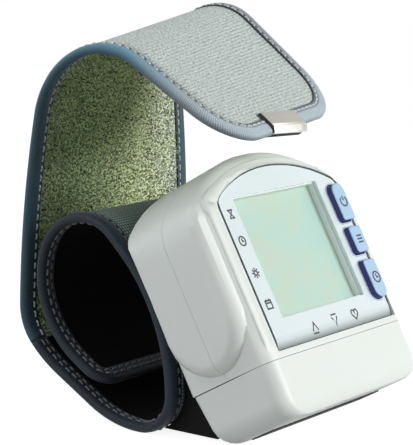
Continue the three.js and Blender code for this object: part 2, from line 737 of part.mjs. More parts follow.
// The can is a round motor with two flats that lie against the board and the rear cover.
function pumpMotor() {
  const halfHeight = PUMP_HEIGHT / 2;
  const flats = block(
    [PUMP_CENTRE - PUMP_WIDTH / 2, PUMP_CENTRE + PUMP_WIDTH / 2],
    [MOTOR_START, MOTOR_START + MOTOR_LENGTH],
    [PUMP_AXIS - halfHeight, PUMP_AXIS + halfHeight],
  );
  const can = rod("v", PUMP_WIDTH / 2, MOTOR_START, MOTOR_START + MOTOR_LENGTH, [PUMP_CENTRE, PUMP_AXIS]);
  const shaft = rod(
    "v", NIPPLE_RADIUS, MOTOR_START + MOTOR_LENGTH - GAP, MOTOR_START + MOTOR_LENGTH + NIPPLE_LENGTH,
    [PUMP_CENTRE, PUMP_AXIS]);
  return can.intersect(flats).add(shaft);
}

function pumpHead() {
  const end = MOTOR_START - GAP;
  const half = PUMP_HEAD_WIDTH / 2;
  const shape = roundedRectangle(
    [PUMP_CENTRE - half, PUMP_CENTRE + half],
    [PUMP_AXIS - PUMP_HEIGHT / 2, PUMP_AXIS + PUMP_HEIGHT / 2],
    PUMP_HEAD_CORNER_RADIUS,
  );
  const body = new THREE.ExtrudeGeometry(shape, {
    depth: PUMP_HEAD_LENGTH,
    bevelEnabled: false,
    curveSegments: CORNER_STEPS,
  });
  body.rotateX(Math.PI / 2).translate(0, end, 0);
  const outlet = rod(
    "u", NIPPLE_RADIUS, PUMP_CENTRE - half - NIPPLE_LENGTH, PUMP_CENTRE, [pumpOutlet().y, PUMP_AXIS]);
  return solid(body).add(outlet);
}

function pumpOutlet() {
  const reach = PUMP_HEAD_WIDTH / 2 + NIPPLE_LENGTH + GAP;
  return vec(PUMP_CENTRE - reach, MOTOR_START - GAP - PUMP_HEAD_LENGTH / 2, PUMP_AXIS);
}

const MANIFOLD_TOP = -CASE_INNER_DEPTH + GAP + MANIFOLD_HEIGHT;
const MANIFOLD_AXIS = MANIFOLD_TOP - MANIFOLD_HEIGHT / 2;
const PORT_REACH = MANIFOLD_HALF + NIPPLE_LENGTH;

// Block that shares the air: ports to the pump, the valve and the sensor, and the nozzle to the cuff.
function airManifold() {
  const half = MANIFOLD_HALF;
  const body = block(
    [SEAT_CENTRE - half, SEAT_CENTRE + half],
    [-half, half],
    [MANIFOLD_TOP - MANIFOLD_HEIGHT, MANIFOLD_TOP],
  );
  const ports = rod("v", NIPPLE_RADIUS, -PORT_REACH, PORT_REACH, [SEAT_CENTRE, MANIFOLD_AXIS]);
  const lower = rod(
    "u", NIPPLE_RADIUS, SEAT_CENTRE - PORT_REACH, SEAT_CENTRE, [0, MANIFOLD_AXIS]);
  const nozzle = rod(
    "w", NOZZLE_RADIUS, -SEAT_APEX_DEPTH - CUFF_SEAT_GAP - COVER_CLOTH - GAP - STIFFENER_THICKNESS,
    MANIFOLD_AXIS, [SEAT_CENTRE, 0]);
  return join(body, ports, lower, nozzle);
}

const VALVE_AXIS = BOARD_BACK - GAP - VALVE_RADIUS;

function releaseValve() {
  const { up, across } = VALVE_PLACE;
  const body = rod("v", VALVE_RADIUS, across - VALVE_LENGTH, across, [up, VALVE_AXIS]);
  const inlet = rod("v", NIPPLE_RADIUS, across - GAP, across + NIPPLE_LENGTH, [up, VALVE_AXIS]);
  return body.add(inlet);
}

const SENSOR_AXIS = BOARD_BACK - GAP - SENSOR_HEIGHT / 2;

function pressureSensor() {
  const { up, across } = SENSOR_PLACE;
  const body = block(
    [up - SENSOR_LENGTH / 2, up + SENSOR_LENGTH / 2],
    [across, across + SENSOR_WIDTH],
    [SENSOR_AXIS - SENSOR_HEIGHT / 2, SENSOR_AXIS + SENSOR_HEIGHT / 2],
  );
  const inlet = rod("v", NIPPLE_RADIUS, across - NIPPLE_LENGTH, across + GAP, [up, SENSOR_AXIS]);
  return body.add(inlet);
}

// A short hose between two ports, leaving each straight out.
function hose(from, fromWay, to, toWay) {
  const path = new THREE.CubicBezierCurve3(
    from,
    from.clone().addScaledVector(fromWay, TUBE_REACH),
    to.clone().addScaledVector(toWay, TUBE_REACH),
    to,
  );
  const section = new THREE.Shape();
  section.absarc(0, 0, TUBE_RADIUS, 0, 2 * Math.PI, false);
  return solid(new THREE.ExtrudeGeometry(section, {
    steps: TUBE_STEPS,
    curveSegments: TUBE_SIDES / 2,
    extrudePath: path,
  }));
}

function beeper() {
  const { up, across } = BEEPER_PLACE;
  return rod("w", BEEPER_RADIUS, BOARD_BACK - GAP - BEEPER_HEIGHT, BOARD_BACK - GAP, [up, across]);
}

// Battery tray, cells and contacts
const TRAY_BASE = -CASE_FOOT - GAP - TRAY_THICKNESS;
const CELL_CENTRE_U = TRAY_BASE - GAP - CELL_RADIUS;
const CELL_DEPTHS = [-CELL_FRONT_DEPTH, -CELL_FRONT_DEPTH - CELL_PITCH];
const CONTACT_FACE = CELL_LENGTH / 2 + GAP + CONTACT_BUMP_LENGTH;
const TRAY_WALL_START = CONTACT_FACE + CONTACT_THICKNESS + GAP;
const TRAY_SPAN = [
  CELL_DEPTHS[1] - CELL_RADIUS + TRAY_MARGIN,
  CELL_DEPTHS[0] + CELL_RADIUS - TRAY_MARGIN,
];

function batteryTray() {
  const outer = TRAY_WALL_START + TRAY_WALL;
  const base = block([TRAY_BASE, TRAY_BASE + TRAY_THICKNESS], [-outer, outer], TRAY_SPAN);
  const ends = [-1, 1].map((side) => {
    const faces = [side * TRAY_WALL_START, side * outer].sort((a, b) => a - b);
    return block([TRAY_BASE - TRAY_WALL_LENGTH, TRAY_BASE + TRAY_THICKNESS], faces, TRAY_SPAN);
  });
  return join(base, ...ends);
}

function batteryCell(depth, side) {
  const half = CELL_LENGTH / 2;
  const profile = [
    [0, -half],
    [CELL_RADIUS, -half],
    [CELL_RADIUS, half - CELL_NUB_LENGTH],
    [CELL_NUB_RADIUS, half - CELL_NUB_LENGTH],
    [CELL_NUB_RADIUS, half],
    [0, half],
  ].map(([radius, along]) => new THREE.Vector2(radius, along));
  const cell = new THREE.LatheGeometry(profile, ROUND_SIDES);
  if (side < 0) cell.rotateX(Math.PI);
  return solid(cell.translate(CELL_CENTRE_U, 0, depth));
}

function contactPlate(side, depths) {
  const faces = [side * CONTACT_FACE, side * (CONTACT_FACE + CONTACT_THICKNESS)].sort((a, b) => a - b);
  const plate = block(
    [CELL_CENTRE_U - CONTACT_HALF_LENGTH, CELL_CENTRE_U + CONTACT_HALF_LENGTH],
    faces,
    [Math.min(...depths) - CONTACT_HALF_LENGTH, Math.max(...depths) + CONTACT_HALF_LENGTH],
  );
  const bumpHeight = CONTACT_BUMP_LENGTH + CONTACT_THICKNESS / 2;
  const bumps = depths.map((depth) => {
    const bump = new THREE.CylinderGeometry(
      CONTACT_BUMP_RADIUS / 2, CONTACT_BUMP_RADIUS, bumpHeight, ROUND_SIDES);
    bump.translate(0, bumpHeight / 2, 0);
    if (side > 0) bump.rotateX(Math.PI);
    const seat = side * (CONTACT_FACE + CONTACT_THICKNESS / 2);
    return solid(bump.translate(CELL_CENTRE_U, seat, depth));
  });
  return join(plate, ...bumps);
}

// Strap geometry

const bend = (radius, turn) => ({ length: radius * radians(Math.abs(turn)), turn });
const run = (length, turn = 0) => ({ length, turn });

// Walks a chain of steps and notes where each starts.
function walk(start, heading, chain) {
  const steps = [];
  let at = { ...start, heading };
  for (const { length, turn } of chain) {
    const step = { ...at, length, turn };
    steps.push(step);
    at = pointOn(step, 1);
  }
  return steps;
}

function pointOn({ x, z, heading, length, turn }, share) {
  const from = radians(heading);
  const turned = radians(turn) * share;
  if (turn === 0) {
    return { x: x + length * share * Math.cos(from), z: z + length * share * Math.sin(from), heading };
  }
  const radius = length / radians(turn);
  return {
    x: x + radius * (Math.sin(from + turned) - Math.sin(from)),
    z: z - radius * (Math.cos(from + turned) - Math.cos(from)),
    heading: heading + turn * share,
  };
}

// A strap is a near and a far edge chain, walked together; depth runs from its outer face to the wrist.
function strapPoint({ near, far, wristSide }, { step, share }, across, depth) {
  const a = pointOn(near[step], share);
  const b = pointOn(far[step], share);
  const mix = (across / STRAP_HALF_WIDTH + 1) / 2;
  const place = vec(a.x, -STRAP_HALF_WIDTH, a.z).lerp(vec(b.x, STRAP_HALF_WIDTH, b.z), mix);
  const way = (heading) => vec(Math.cos(radians(heading)), 0, Math.sin(radians(heading)));
  const along = way(a.heading).lerp(way(b.heading), mix);
  const generator = vec(b.x - a.x, 2 * STRAP_HALF_WIDTH, b.z - a.z);
  const inward = along.cross(generator).normalize().multiplyScalar(wristSide);
  return place.addScaledVector(inward, depth);
}

// Stations from the hinge line to where the free end's corners start to round.
function stationsOf(strap, corner) {
  const stations = [];
  const last = strap.near.length - 1;
  strap.near.forEach((near, step) => {
    const far = strap.far[step];
    const turn = Math.max(Math.abs(near.turn), Math.abs(far.turn));
    const length = Math.max(near.length, far.length);
    const count = Math.max(1, Math.ceil(turn / STATION_ANGLE), Math.ceil(length / STATION_LENGTH));
    const reach = step === last ? 1 - corner / lengthOf(strap, last) : 1;
    for (let i = step ? 1 : 0; i <= count; i++) stations.push({ step, share: (reach * i) / count });
  });
  stations[0] = { step: 0, share: GAP / 2 / lengthOf(strap, 0) };
  return stations;
}

function lengthOf(strap, step) {
  return (strap.near[step].length + strap.far[step].length) / 2;
}

function stationFromEnd(strap, distance) {
  const step = strap.near.length - 1;
  return { step, share: 1 - distance / lengthOf(strap, step) };
}

// A layer of the strap inside its edge tape, between two depths given for each station and place across.
function strapLayer(strap, corner, margin, acrossShares, depths) {
  const half = STRAP_HALF_WIDTH - margin;
  const rounding = Math.max(corner - margin, GAP);
  const places = stationsOf(strap, corner).map((station) => ({ station, halfHere: half }));
  for (let i = 1; i <= CORNER_STEPS; i++) {
    const angle = (Math.PI / 2) * (i / CORNER_STEPS);
    places.push({
      station: stationFromEnd(strap, margin + rounding * (1 - Math.sin(angle))),
      halfHere: half - rounding * (1 - Math.cos(angle)),
    });
  }
  return loft(places.map(({ station, halfHere }) => {
    const row = (side) => acrossShares.map((share) =>
      strapPoint(strap, station, share * halfHere, depths(station, share * halfHere)[side]));
    return [...row(0), ...row(1).reverse()];
  }));
}

// Tape folded over the near edge, the free end and the far edge, as one run.
function edgeTape(strap, corner) {
  const rings = [];
  const inner = corner - TAPE_WIDTH;
  const ring = (outerStation, outerAcross, innerStation, innerAcross) => {
    const [top, bottom] = [-TAPE_PROUD, COVER_CLOTH + GAP + LINING_CLOTH + TAPE_PROUD];
    rings.push([
      strapPoint(strap, outerStation, outerAcross, top),
      strapPoint(strap, outerStation, outerAcross, bottom),
      strapPoint(strap, innerStation, innerAcross, bottom),
      strapPoint(strap, innerStation, innerAcross, top),
    ]);
  };
  const straight = stationsOf(strap, corner);
  const cornerRing = (angle, side) => ring(
    stationFromEnd(strap, corner * (1 - Math.sin(angle))),
    side * (STRAP_HALF_WIDTH - corner * (1 - Math.cos(angle))),
    stationFromEnd(strap, TAPE_WIDTH + inner * (1 - Math.sin(angle))),
    side * (STRAP_HALF_WIDTH - TAPE_WIDTH - inner * (1 - Math.cos(angle))),
  );
  const half = STRAP_HALF_WIDTH;
  straight.forEach((station) => ring(station, -half, station, -half + TAPE_WIDTH));
  for (let i = 1; i <= CORNER_STEPS; i++) cornerRing((Math.PI / 2) * (i / CORNER_STEPS), -1);
  for (let i = CORNER_STEPS; i >= 1; i--) cornerRing((Math.PI / 2) * (i / CORNER_STEPS), 1);
  straight.reverse().forEach((station) => ring(station, half, station, half - TAPE_WIDTH));
  return loft(rings);
}

// The loop is walked from the hinge line to its inner end, then moved so that it seats on the case back.
function cuffLoop() {
  const lower = [
    bend(HINGE_BEND_RADIUS, HINGE_BEND_TURN),
    run(FLANK_LENGTH),
    bend(SOLE_RADIUS, SOLE_TURN),
    bend(HEEL_RADIUS, HEEL_TURN),
    bend(SEAT_RADIUS - CUFF_SEAT_GAP, SEAT_LOWER_TURN),
  ];
  const upper = [
    bend(SEAT_RADIUS - CUFF_SEAT_GAP, SEAT_UPPER_TURN),
    run(CREST_RUN),
    bend(CREST_RADIUS, CREST_TURN),
    bend(BROW_RADIUS, BROW_TURN),
    bend(CHEEK_RADIUS, CHEEK_TURN),
    bend(JAW_RADIUS, JAW_TURN),
    run(INNER_END_LENGTH, INNER_END_TURN),
  ];
  const seatHeading = QUARTER_TURN + LEAN_ANGLE;
  const heading = seatHeading - lower.reduce((sum, step) => sum + step.turn, 0);
  const trial = walk({ x: 0, z: 0 }, heading, lower);
  const landed = pointOn(trial.at(-1), 1);
  const seat = unitToWorld(vec(SEAT_CENTRE, 0, -SEAT_APEX_DEPTH - CUFF_SEAT_GAP));
  const start = { x: seat.x - landed.x, z: seat.z - landed.z };
  const edge = walk(start, heading, [...lower, ...upper]);
  return { near: edge, far: edge, wristSide: 1 };
}

function freeStrap(loop) {
  const { x, z, heading } = loop.near[0];
  const shared = bend(CURL_RADIUS, -CURL_TURN);
  const near = [
    shared,
    run(NEAR_RISE_LENGTH, -NEAR_RISE_TURN),
    bend(NEAR_BEND_RADIUS, -NEAR_BEND_TURN),
    run(NEAR_RUN),
  ];
  const far = [
    shared,
    run(FAR_RISE_LENGTH, FAR_RISE_TURN),
    bend(FAR_BEND_RADIUS, -FAR_BEND_TURN),
    run(FAR_RUN),
  ];
  return {
    near: walk({ x, z }, heading + HALF_TURN, near),
    far: walk({ x, z }, heading + HALF_TURN, far),
    wristSide: -1,
  };
}

// Rotation that leans the unit back: u up the display, v towards the near side, w out of the display.
const LEANED = new THREE.Matrix4().makeBasis(
  vec(-Math.sin(radians(LEAN_ANGLE)), 0, Math.cos(radians(LEAN_ANGLE))),
  vec(0, -1, 0),
  vec(Math.cos(radians(LEAN_ANGLE)), 0, Math.sin(radians(LEAN_ANGLE))),
);
const unitToWorld = (point) => point.clone().applyMatrix4(LEANED);

const LOOP = cuffLoop();
const TAIL = freeStrap(LOOP);
const SWELL = STIFFENER_THICKNESS + BLADDER_THICKNESS + 2 * GAP;
const FIRST_SWOLLEN_STEP = 3;
const LAST_SWOLLEN_STEP = 6;
const WHOLE_SHARES = [-1, 1];

// How far the lining stands off the cover: full over the bladder, ramped at its sides and at both ends.
function swellAt({ step, share }, across) {
  const side = STRAP_HALF_WIDTH - TAPE_WIDTH - GAP - Math.abs(across);
  const acrossShare = Math.min(1, side / SWELL_RAMP);
  let alongShare = step >= FIRST_SWOLLEN_STEP && step <= LAST_SWOLLEN_STEP ? 1 : 0;
  if (step === FIRST_SWOLLEN_STEP) alongShare = Math.min(1, share / SWELL_RISE_SHARE);
  if (step === LAST_SWOLLEN_STEP) alongShare = Math.min(1, (1 - share) / SWELL_RISE_SHARE);
  return SWELL * acrossShare * alongShare;
}

// The part of the loop between two of its steps, with whole stations only.
function sleeve(halfWidth, top, bottom) {
  const stations = stationsOf(LOOP, INNER_CORNER_RADIUS).filter(({ step, share }) => {
    if (step === FIRST_SWOLLEN_STEP) return share > SWELL_RISE_SHARE;
    if (step === LAST_SWOLLEN_STEP) return share <= 1 - SWELL_RISE_SHARE;
    return step > FIRST_SWOLLEN_STEP && step < LAST_SWOLLEN_STEP;
  });
  return loft(stations.map((station) => [
    strapPoint(LOOP, station, -halfWidth, top),
    strapPoint(LOOP, station, halfWidth, top),
    strapPoint(LOOP, station, halfWidth, bottom),
    strapPoint(LOOP, station, -halfWidth, bottom),
  ]));
}

const nozzleWell = () => {
  const depth = SEAT_APEX_DEPTH + CUFF_SEAT_GAP + SWELL;
  const reach = rod("w", NOZZLE_RADIUS + GAP, -depth, -CASE_INNER_DEPTH, [SEAT_CENTRE, 0]);
  return solid(geometryOf(reach).applyMatrix4(LEANED));
};

function cuffCover() {
  const depths = () => [0, COVER_CLOTH];
  const cloth = strapLayer(LOOP, INNER_CORNER_RADIUS, TAPE_WIDTH + GAP, WHOLE_SHARES, depths);
  return cut(solid(cloth), nozzleWell());
}

function cuffLining() {
  const flat = STRAP_HALF_WIDTH - TAPE_WIDTH - GAP;
  const ramp = 1 - SWELL_RAMP / flat;
  const depths = (station, across) => {
    const top = COVER_CLOTH + GAP + swellAt(station, across);
    return [top, top + LINING_CLOTH];
  };
  return solid(strapLayer(LOOP, INNER_CORNER_RADIUS, TAPE_WIDTH + GAP, [-1, -ramp, ramp, 1], depths));
}

function cuffStiffener() {
  const half = STRAP_HALF_WIDTH - TAPE_WIDTH - SWELL_RAMP - STIFFENER_MARGIN;
  const top = COVER_CLOTH + GAP;
  return cut(solid(sleeve(half, top, top + STIFFENER_THICKNESS)), nozzleWell());
}

function airBladder() {
  const half = STRAP_HALF_WIDTH - TAPE_WIDTH - SWELL_RAMP - BLADDER_MARGIN;
  const top = COVER_CLOTH + STIFFENER_THICKNESS + 2 * GAP;
  return solid(sleeve(half, top, top + BLADDER_THICKNESS));
}

function strapFace() {
  const depths = () => [0, COVER_CLOTH];
  return solid(strapLayer(TAIL, TIP_RADIUS, TAPE_WIDTH + GAP, WHOLE_SHARES, depths));
}

function strapPile() {
  const top = COVER_CLOTH + GAP;
  const depths = () => [top, top + PILE_CLOTH];
  return solid(strapLayer(TAIL, TIP_RADIUS, TAPE_WIDTH + GAP, WHOLE_SHARES, depths));
}

// Bent metal clip over the middle of the strap's end.
function strapEndClip() {
  const top = -TAPE_PROUD - GAP;
  const bottom = COVER_CLOTH + GAP + Math.max(LINING_CLOTH + TAPE_PROUD, PILE_CLOTH) + GAP;
  const t = CLIP_THICKNESS;
  const profile = [
    [CLIP_LENGTH, top - t],
    [-GAP - t, top - t],
    [-GAP - t, bottom + t],
    [CLIP_LENGTH, bottom + t],
    [CLIP_LENGTH, bottom],
    [-GAP, bottom],
    [-GAP, top],
    [CLIP_LENGTH, top],
  ];
  const sides = [CLIP_SHIFT - CLIP_HALF_WIDTH, CLIP_SHIFT + CLIP_HALF_WIDTH];
  return solid(loft(sides.map((across) =>
    profile.map(([back, depth]) => strapPoint(TAIL, stationFromEnd(TAIL, back), across, depth)))));
}

// Bracket in the hollow of the back: a curved plate whose foot fills the wedge between case and cuff.
function mountPlate() {
  const outer = SEAT_RADIUS + POCKET_DEPTH - GAP;
  const inner = SEAT_RADIUS - CUFF_SEAT_GAP + GAP;
  const plane = -CASE_BACK - GAP;
  const topShare = (BRACKET_TOP - SEAT_CENTRE) / outer;
  const lowShare = Math.sqrt(outer ** 2 - (SEAT_AXIS_DEPTH + plane) ** 2) / outer;
  const shape = new THREE.Shape();
  const [high, low] = [Math.acos(topShare), Math.PI - Math.acos(lowShare)];
  shape.absarc(SEAT_CENTRE, -SEAT_AXIS_DEPTH, outer, high, low, false);
  const heel = heelCentre();
  const heelRadius = HEEL_RADIUS + GAP;
  const bottom = bracketBottom();
  shape.lineTo(bottom.atCase.x, plane);
  shape.lineTo(bottom.atHeel.x, bottom.atHeel.y);
  const end = Math.atan2(bottom.atHeel.y - heel.y, bottom.atHeel.x - heel.x);
  const seatEnd = Math.atan2(heel.y + SEAT_AXIS_DEPTH, heel.x - SEAT_CENTRE);
  shape.absarc(heel.x, heel.y, heelRadius, end, seatEnd, true);
  const innerEnd = Math.acos((BRACKET_TOP - SEAT_CENTRE) / inner);
  shape.absarc(SEAT_CENTRE, -SEAT_AXIS_DEPTH, inner, seatEnd, innerEnd, true);
  const body = extrudeAcross(shape, BRACKET_HALF_WIDTH, 3 * CORNER_STEPS).translate([0, CASE_SHIFT, 0]);
  return cut(body, rod("w", NOZZLE_RADIUS + GAP, -CASE_BACK, -CASE_INNER_DEPTH, [SEAT_CENTRE, 0]));
}

// Centre of the heel bend, in the unit's own u and w.
function heelCentre() {
  const turn = radians(SEAT_LOWER_TURN);
  const reach = SEAT_RADIUS - CUFF_SEAT_GAP - HEEL_RADIUS;
  const up = SEAT_CENTRE - reach * Math.sin(turn);
  return new THREE.Vector2(up, -SEAT_AXIS_DEPTH + reach * Math.cos(turn));
}

// The bracket's foot is level and stands just above the surface under the cuff.
function bracketBottom() {
  const lean = radians(LEAN_ANGLE);
  const heel = heelCentre();
  const down = new THREE.Vector2(-Math.cos(lean), -Math.sin(lean));
  const level = new THREE.Vector2(Math.sin(lean), -Math.cos(lean));
  const drop = HEEL_RADIUS - BRACKET_FOOT_CLEARANCE;
  const radius = HEEL_RADIUS + GAP;
  const side = Math.sqrt(radius ** 2 - drop ** 2);
  const foot = heel.clone().addScaledVector(down, drop);
  const atHeel = foot.clone().addScaledVector(level, -side);
  const plane = -CASE_BACK - GAP;
  const reach = (plane - foot.y) / level.y;
  return { atHeel, atCase: foot.clone().addScaledVector(level, reach) };
}

// Colours and finishes
const FINISHES = {
  ivory: { color: 0xe9ebe7, roughness: 0.35, metalness: 0 },
  panelWhite: { color: 0xe6f0f4, roughness: 0.12, metalness: 0 },
  clear: { color: 0xdfeeea, roughness: 0.05, metalness: 0 },
  displayGreen: { color: 0xc2dccb, roughness: 0.25, metalness: 0 },
  lightBlue: { color: 0xb9d5eb, roughness: 0.3, metalness: 0 },
  innerGrey: { color: 0x9aa0a3, roughness: 0.6, metalness: 0 },
  rubberGrey: { color: 0x6d7276, roughness: 0.9, metalness: 0 },
  boardGreen: { color: 0x2f6b3d, roughness: 0.6, metalness: 0 },
  steel: { color: 0xc3c6c8, roughness: 0.3, metalness: 1 },
  blackPlastic: { color: 0x121417, roughness: 0.5, metalness: 0 },
  clearRubber: { color: 0xd5d8d4, roughness: 0.7, metalness: 0 },
  cellWrap: { color: 0x3b4650, roughness: 0.4, metalness: 0.3 },
  darkCloth: { color: 0x1a2126, roughness: 0.95, metalness: 0 },
  slateTape: { color: 0x4a5a68, roughness: 0.9, metalness: 0 },
  ribbedGrey: { color: 0xbfc7bf, roughness: 0.95, metalness: 0 },
  olivePile: { color: 0x7d8c60, roughness: 1, metalness: 0 },
};

function piece(name, body, finish) {
  const geometry = toCreasedNormals(geometryOf(body), radians(CREASE_ANGLE));
  const mesh = new THREE.Mesh(geometry, new THREE.MeshStandardMaterial(FINISHES[finish]));
  mesh.name = name;
  return mesh;
}

function hosePieces() {
  const port = (u, v) => vec(SEAT_CENTRE + u, v, MANIFOLD_AXIS);
  const reach = PORT_REACH + GAP;
  const valvePort = vec(VALVE_PLACE.up, VALVE_PLACE.across + NIPPLE_LENGTH + GAP, VALVE_AXIS);
  const sensorPort = vec(SENSOR_PLACE.up, SENSOR_PLACE.across - NIPPLE_LENGTH - GAP, SENSOR_AXIS);
  return [
    piece("pump_hose", hose(pumpOutlet(), vec(-1, 0, 0), port(0, -reach), vec(0, -1, 0)), "clearRubber"),
    piece("valve_hose", hose(valvePort, vec(0, 1, 0), port(-reach, 0), vec(-1, 0, 0)), "clearRubber"),
    piece("sensor_hose", hose(sensorPort, vec(0, -1, 0), port(0, reach), vec(0, 1, 0)), "clearRubber"),
  ];
}

function unitGroup() {
  const unit = new THREE.Group();
  unit.add(
    piece("front_cover", frontCover(), "ivory"),
    piece("rear_cover", rearCover(), "ivory"),
    piece("battery_cover", batteryCover(), "ivory"),
    piece("display_panel", displayPanel(), "panelWhite"),
    piece("window_lens", windowCutter(0, -PANEL_THICKNESS, 0), "clear"),
    piece("lcd_glass", windowCutter(GLASS_MARGIN, GLASS_BOTTOM, GLASS_TOP), "displayGreen"),
    piece("lcd_frame", lcdFrame(), "innerGrey"),
    piece("lcd_connector", lcdConnector(), "rubberGrey"),
    ...Object.entries(BUTTON_SPANS).map(([name, span]) => piece(name, button(span), "lightBlue")),
    piece("button_pad", buttonPad(), "rubberGrey"),
    piece("circuit_board", circuitBoard(), "boardGreen"),
    ...SCREW_PLACES.map((place, i) => piece(`case_screw_${i + 1}`, caseScrew(place), "steel")),
    piece("pump_motor", pumpMotor(), "steel"),
    piece("pump_head", pumpHead(), "blackPlastic"),
    piece("air_manifold", airManifold(), "blackPlastic"),
    piece("release_valve", releaseValve(), "blackPlastic"),
    piece("pressure_sensor", pressureSensor(), "innerGrey"),
    ...hosePieces(),
    piece("beeper", beeper(), "blackPlastic"),
    piece("battery_tray", batteryTray(), "innerGrey"),
    piece("battery_1", batteryCell(CELL_DEPTHS[0], 1), "cellWrap"),
    piece("battery_2", batteryCell(CELL_DEPTHS[1], -1), "cellWrap"),
    piece("contact_link", contactPlate(1, CELL_DEPTHS), "steel"),
    piece("contact_plus", contactPlate(-1, [CELL_DEPTHS[1]]), "steel"),
    piece("contact_minus", contactPlate(-1, [CELL_DEPTHS[0]]), "steel"),
    piece("cuff_mount_plate", mountPlate(), "blackPlastic"),
  );
  unit.quaternion.setFromRotationMatrix(LEANED);
  return unit;
}

function strapGroup() {
  const strap = new THREE.Group();
  strap.add(
    piece("cuff_outer_cover", cuffCover(), "darkCloth"),
    piece("cuff_stiffener", cuffStiffener(), "clearRubber"),
    piece("air_bladder", airBladder(), "rubberGrey"),
    piece("cuff_lining", cuffLining(), "darkCloth"),
    piece("cuff_edge_tape", solid(edgeTape(LOOP, INNER_CORNER_RADIUS)), "slateTape"),
    piece("strap_face", strapFace(), "ribbedGrey"),
    piece("strap_pile", strapPile(), "olivePile"),
    piece("strap_edge_tape", solid(edgeTape(TAIL, TIP_RADIUS)), "slateTape"),
    piece("strap_end_clip", strapEndClip(), "steel"),
  );
  return strap;
}

// The whole stands on its lowest points, with zero under the middle of its box.
const monitor = new THREE.Group();
monitor.add(unitGroup(), strapGroup());
monitor.updateMatrixWorld(true);
const bounds = new THREE.Box3().setFromObject(monitor, true);
const middle = bounds.getCenter(vec(0, 0, 0));
monitor.children.forEach((group) => group.position.sub(vec(middle.x, middle.y, bounds.min.z)));

export default monitor;
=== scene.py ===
"""Wrist blood pressure monitor: looks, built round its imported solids, which stay as they are."""

import bisect
import itertools
import math

import bmesh
import bpy
from bpy.props import FloatProperty, IntProperty, PointerProperty, StringProperty
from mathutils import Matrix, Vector
from mathutils.bvhtree import BVHTree


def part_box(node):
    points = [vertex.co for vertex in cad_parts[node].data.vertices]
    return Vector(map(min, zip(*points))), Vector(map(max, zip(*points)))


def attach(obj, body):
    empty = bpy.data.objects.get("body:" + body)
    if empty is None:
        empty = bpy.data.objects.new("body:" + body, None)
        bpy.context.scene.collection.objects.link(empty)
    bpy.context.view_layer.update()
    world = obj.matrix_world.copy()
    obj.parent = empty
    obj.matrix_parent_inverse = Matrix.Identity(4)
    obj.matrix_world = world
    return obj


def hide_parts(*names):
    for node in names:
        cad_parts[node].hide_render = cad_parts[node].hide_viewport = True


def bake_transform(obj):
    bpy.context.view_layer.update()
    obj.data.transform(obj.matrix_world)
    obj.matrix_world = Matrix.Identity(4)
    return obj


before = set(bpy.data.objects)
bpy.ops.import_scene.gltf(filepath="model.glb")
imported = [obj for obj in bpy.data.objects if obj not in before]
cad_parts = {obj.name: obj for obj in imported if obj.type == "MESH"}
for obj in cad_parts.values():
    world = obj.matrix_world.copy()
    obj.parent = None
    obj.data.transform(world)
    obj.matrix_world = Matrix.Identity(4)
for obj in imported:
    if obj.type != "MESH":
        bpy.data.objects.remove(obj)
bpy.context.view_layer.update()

bl_info = {
    "name": "Wrist blood pressure monitor",
    "version": (1, 0, 0),
    "blender": (4, 5, 0),
    "location": "View3D > Sidebar > Monitor",
    "description": (
        "Dresses a wrist blood pressure monitor with cloth, stitching, printed marks and finishes"),
    "category": "Add Mesh",
}

MM = 0.001
MONITOR = "monitor"
TAIL_BODY = "free_strap"

# The unit's own axes: u up the display, v towards the near side, w out of the display,
# with zero at the centre of the display window on the panel's face.
LEAN = math.radians(29)
UP = Vector((-math.sin(LEAN), 0, math.cos(LEAN)))
ACROSS = Vector((0, -1, 0))
OUT = Vector((math.cos(LEAN), 0, math.sin(LEAN)))
PANEL_CENTRE = Vector((25.9606, 0.2982, 48.8329))


def on_unit(u, v, w):
    """A place on the leaning unit: millimetres in its own axes to metres in the shared frame."""
    return (PANEL_CENTRE + UP * u + ACROSS * v + OUT * w) * MM


# Settings

TAPE_LOW, TAPE_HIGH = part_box("cuff_edge_tape")
STRAP_MIDDLE_Y = (TAPE_LOW.y + TAPE_HIGH.y) / 2 / MM
STRAP_HALF = (TAPE_HIGH.y - TAPE_LOW.y) / 2


def length_setting(name, description, default):
    """A length in metres, shown in the scene's unit."""
    return FloatProperty(
        name=name, description=description, default=default, unit="LENGTH", subtype="DISTANCE")


class MonitorSizes(bpy.types.PropertyGroup):
    strap_half_width: length_setting(
        "Strap half width", "From the middle of the strap to its edge", STRAP_HALF)
    tape_width: length_setting(
        "Edge tape width", "How far the folded tape reaches in from the strap's edge", 0.005)
    rib_pitch: length_setting(
        "Rib pitch", "Distance between two ribs of the strap's outer cloth", 0.00115)
    pile_length: length_setting(
        "Pile length", "Length of the fibre tufts on the strap's inner side", 0.0011)
    pile_tufts: IntProperty(
        name="Pile tufts", default=13000,
        description="How many fibre tufts stand on the strap's inner side")
    seam_inset: length_setting(
        "Seam inset", "From the strap's edge to the seam that holds the tape", 0.0038)
    stitch_length: length_setting(
        "Stitch length", "Length of one stitch of the edge seams", 0.0019)
    stitch_gap: length_setting(
        "Stitch gap", "Distance between two stitches of the edge seams", 0.0009)
    thread_radius: length_setting(
        "Thread radius", "Radius of the sewing thread", 0.00026)
    icon_stroke: length_setting(
        "Icon stroke", "Width of the lines of the printed icons", 0.00046)
    soft_edge: length_setting(
        "Soft edge", "Radius rolled on the sharp edges of the moulded shells", 0.00028)


def colour_setting(name, description, default):
    """A colour kept as an sRGB hex value."""
    return StringProperty(
        name=name, description=description + ", as an sRGB hex value", default=default)


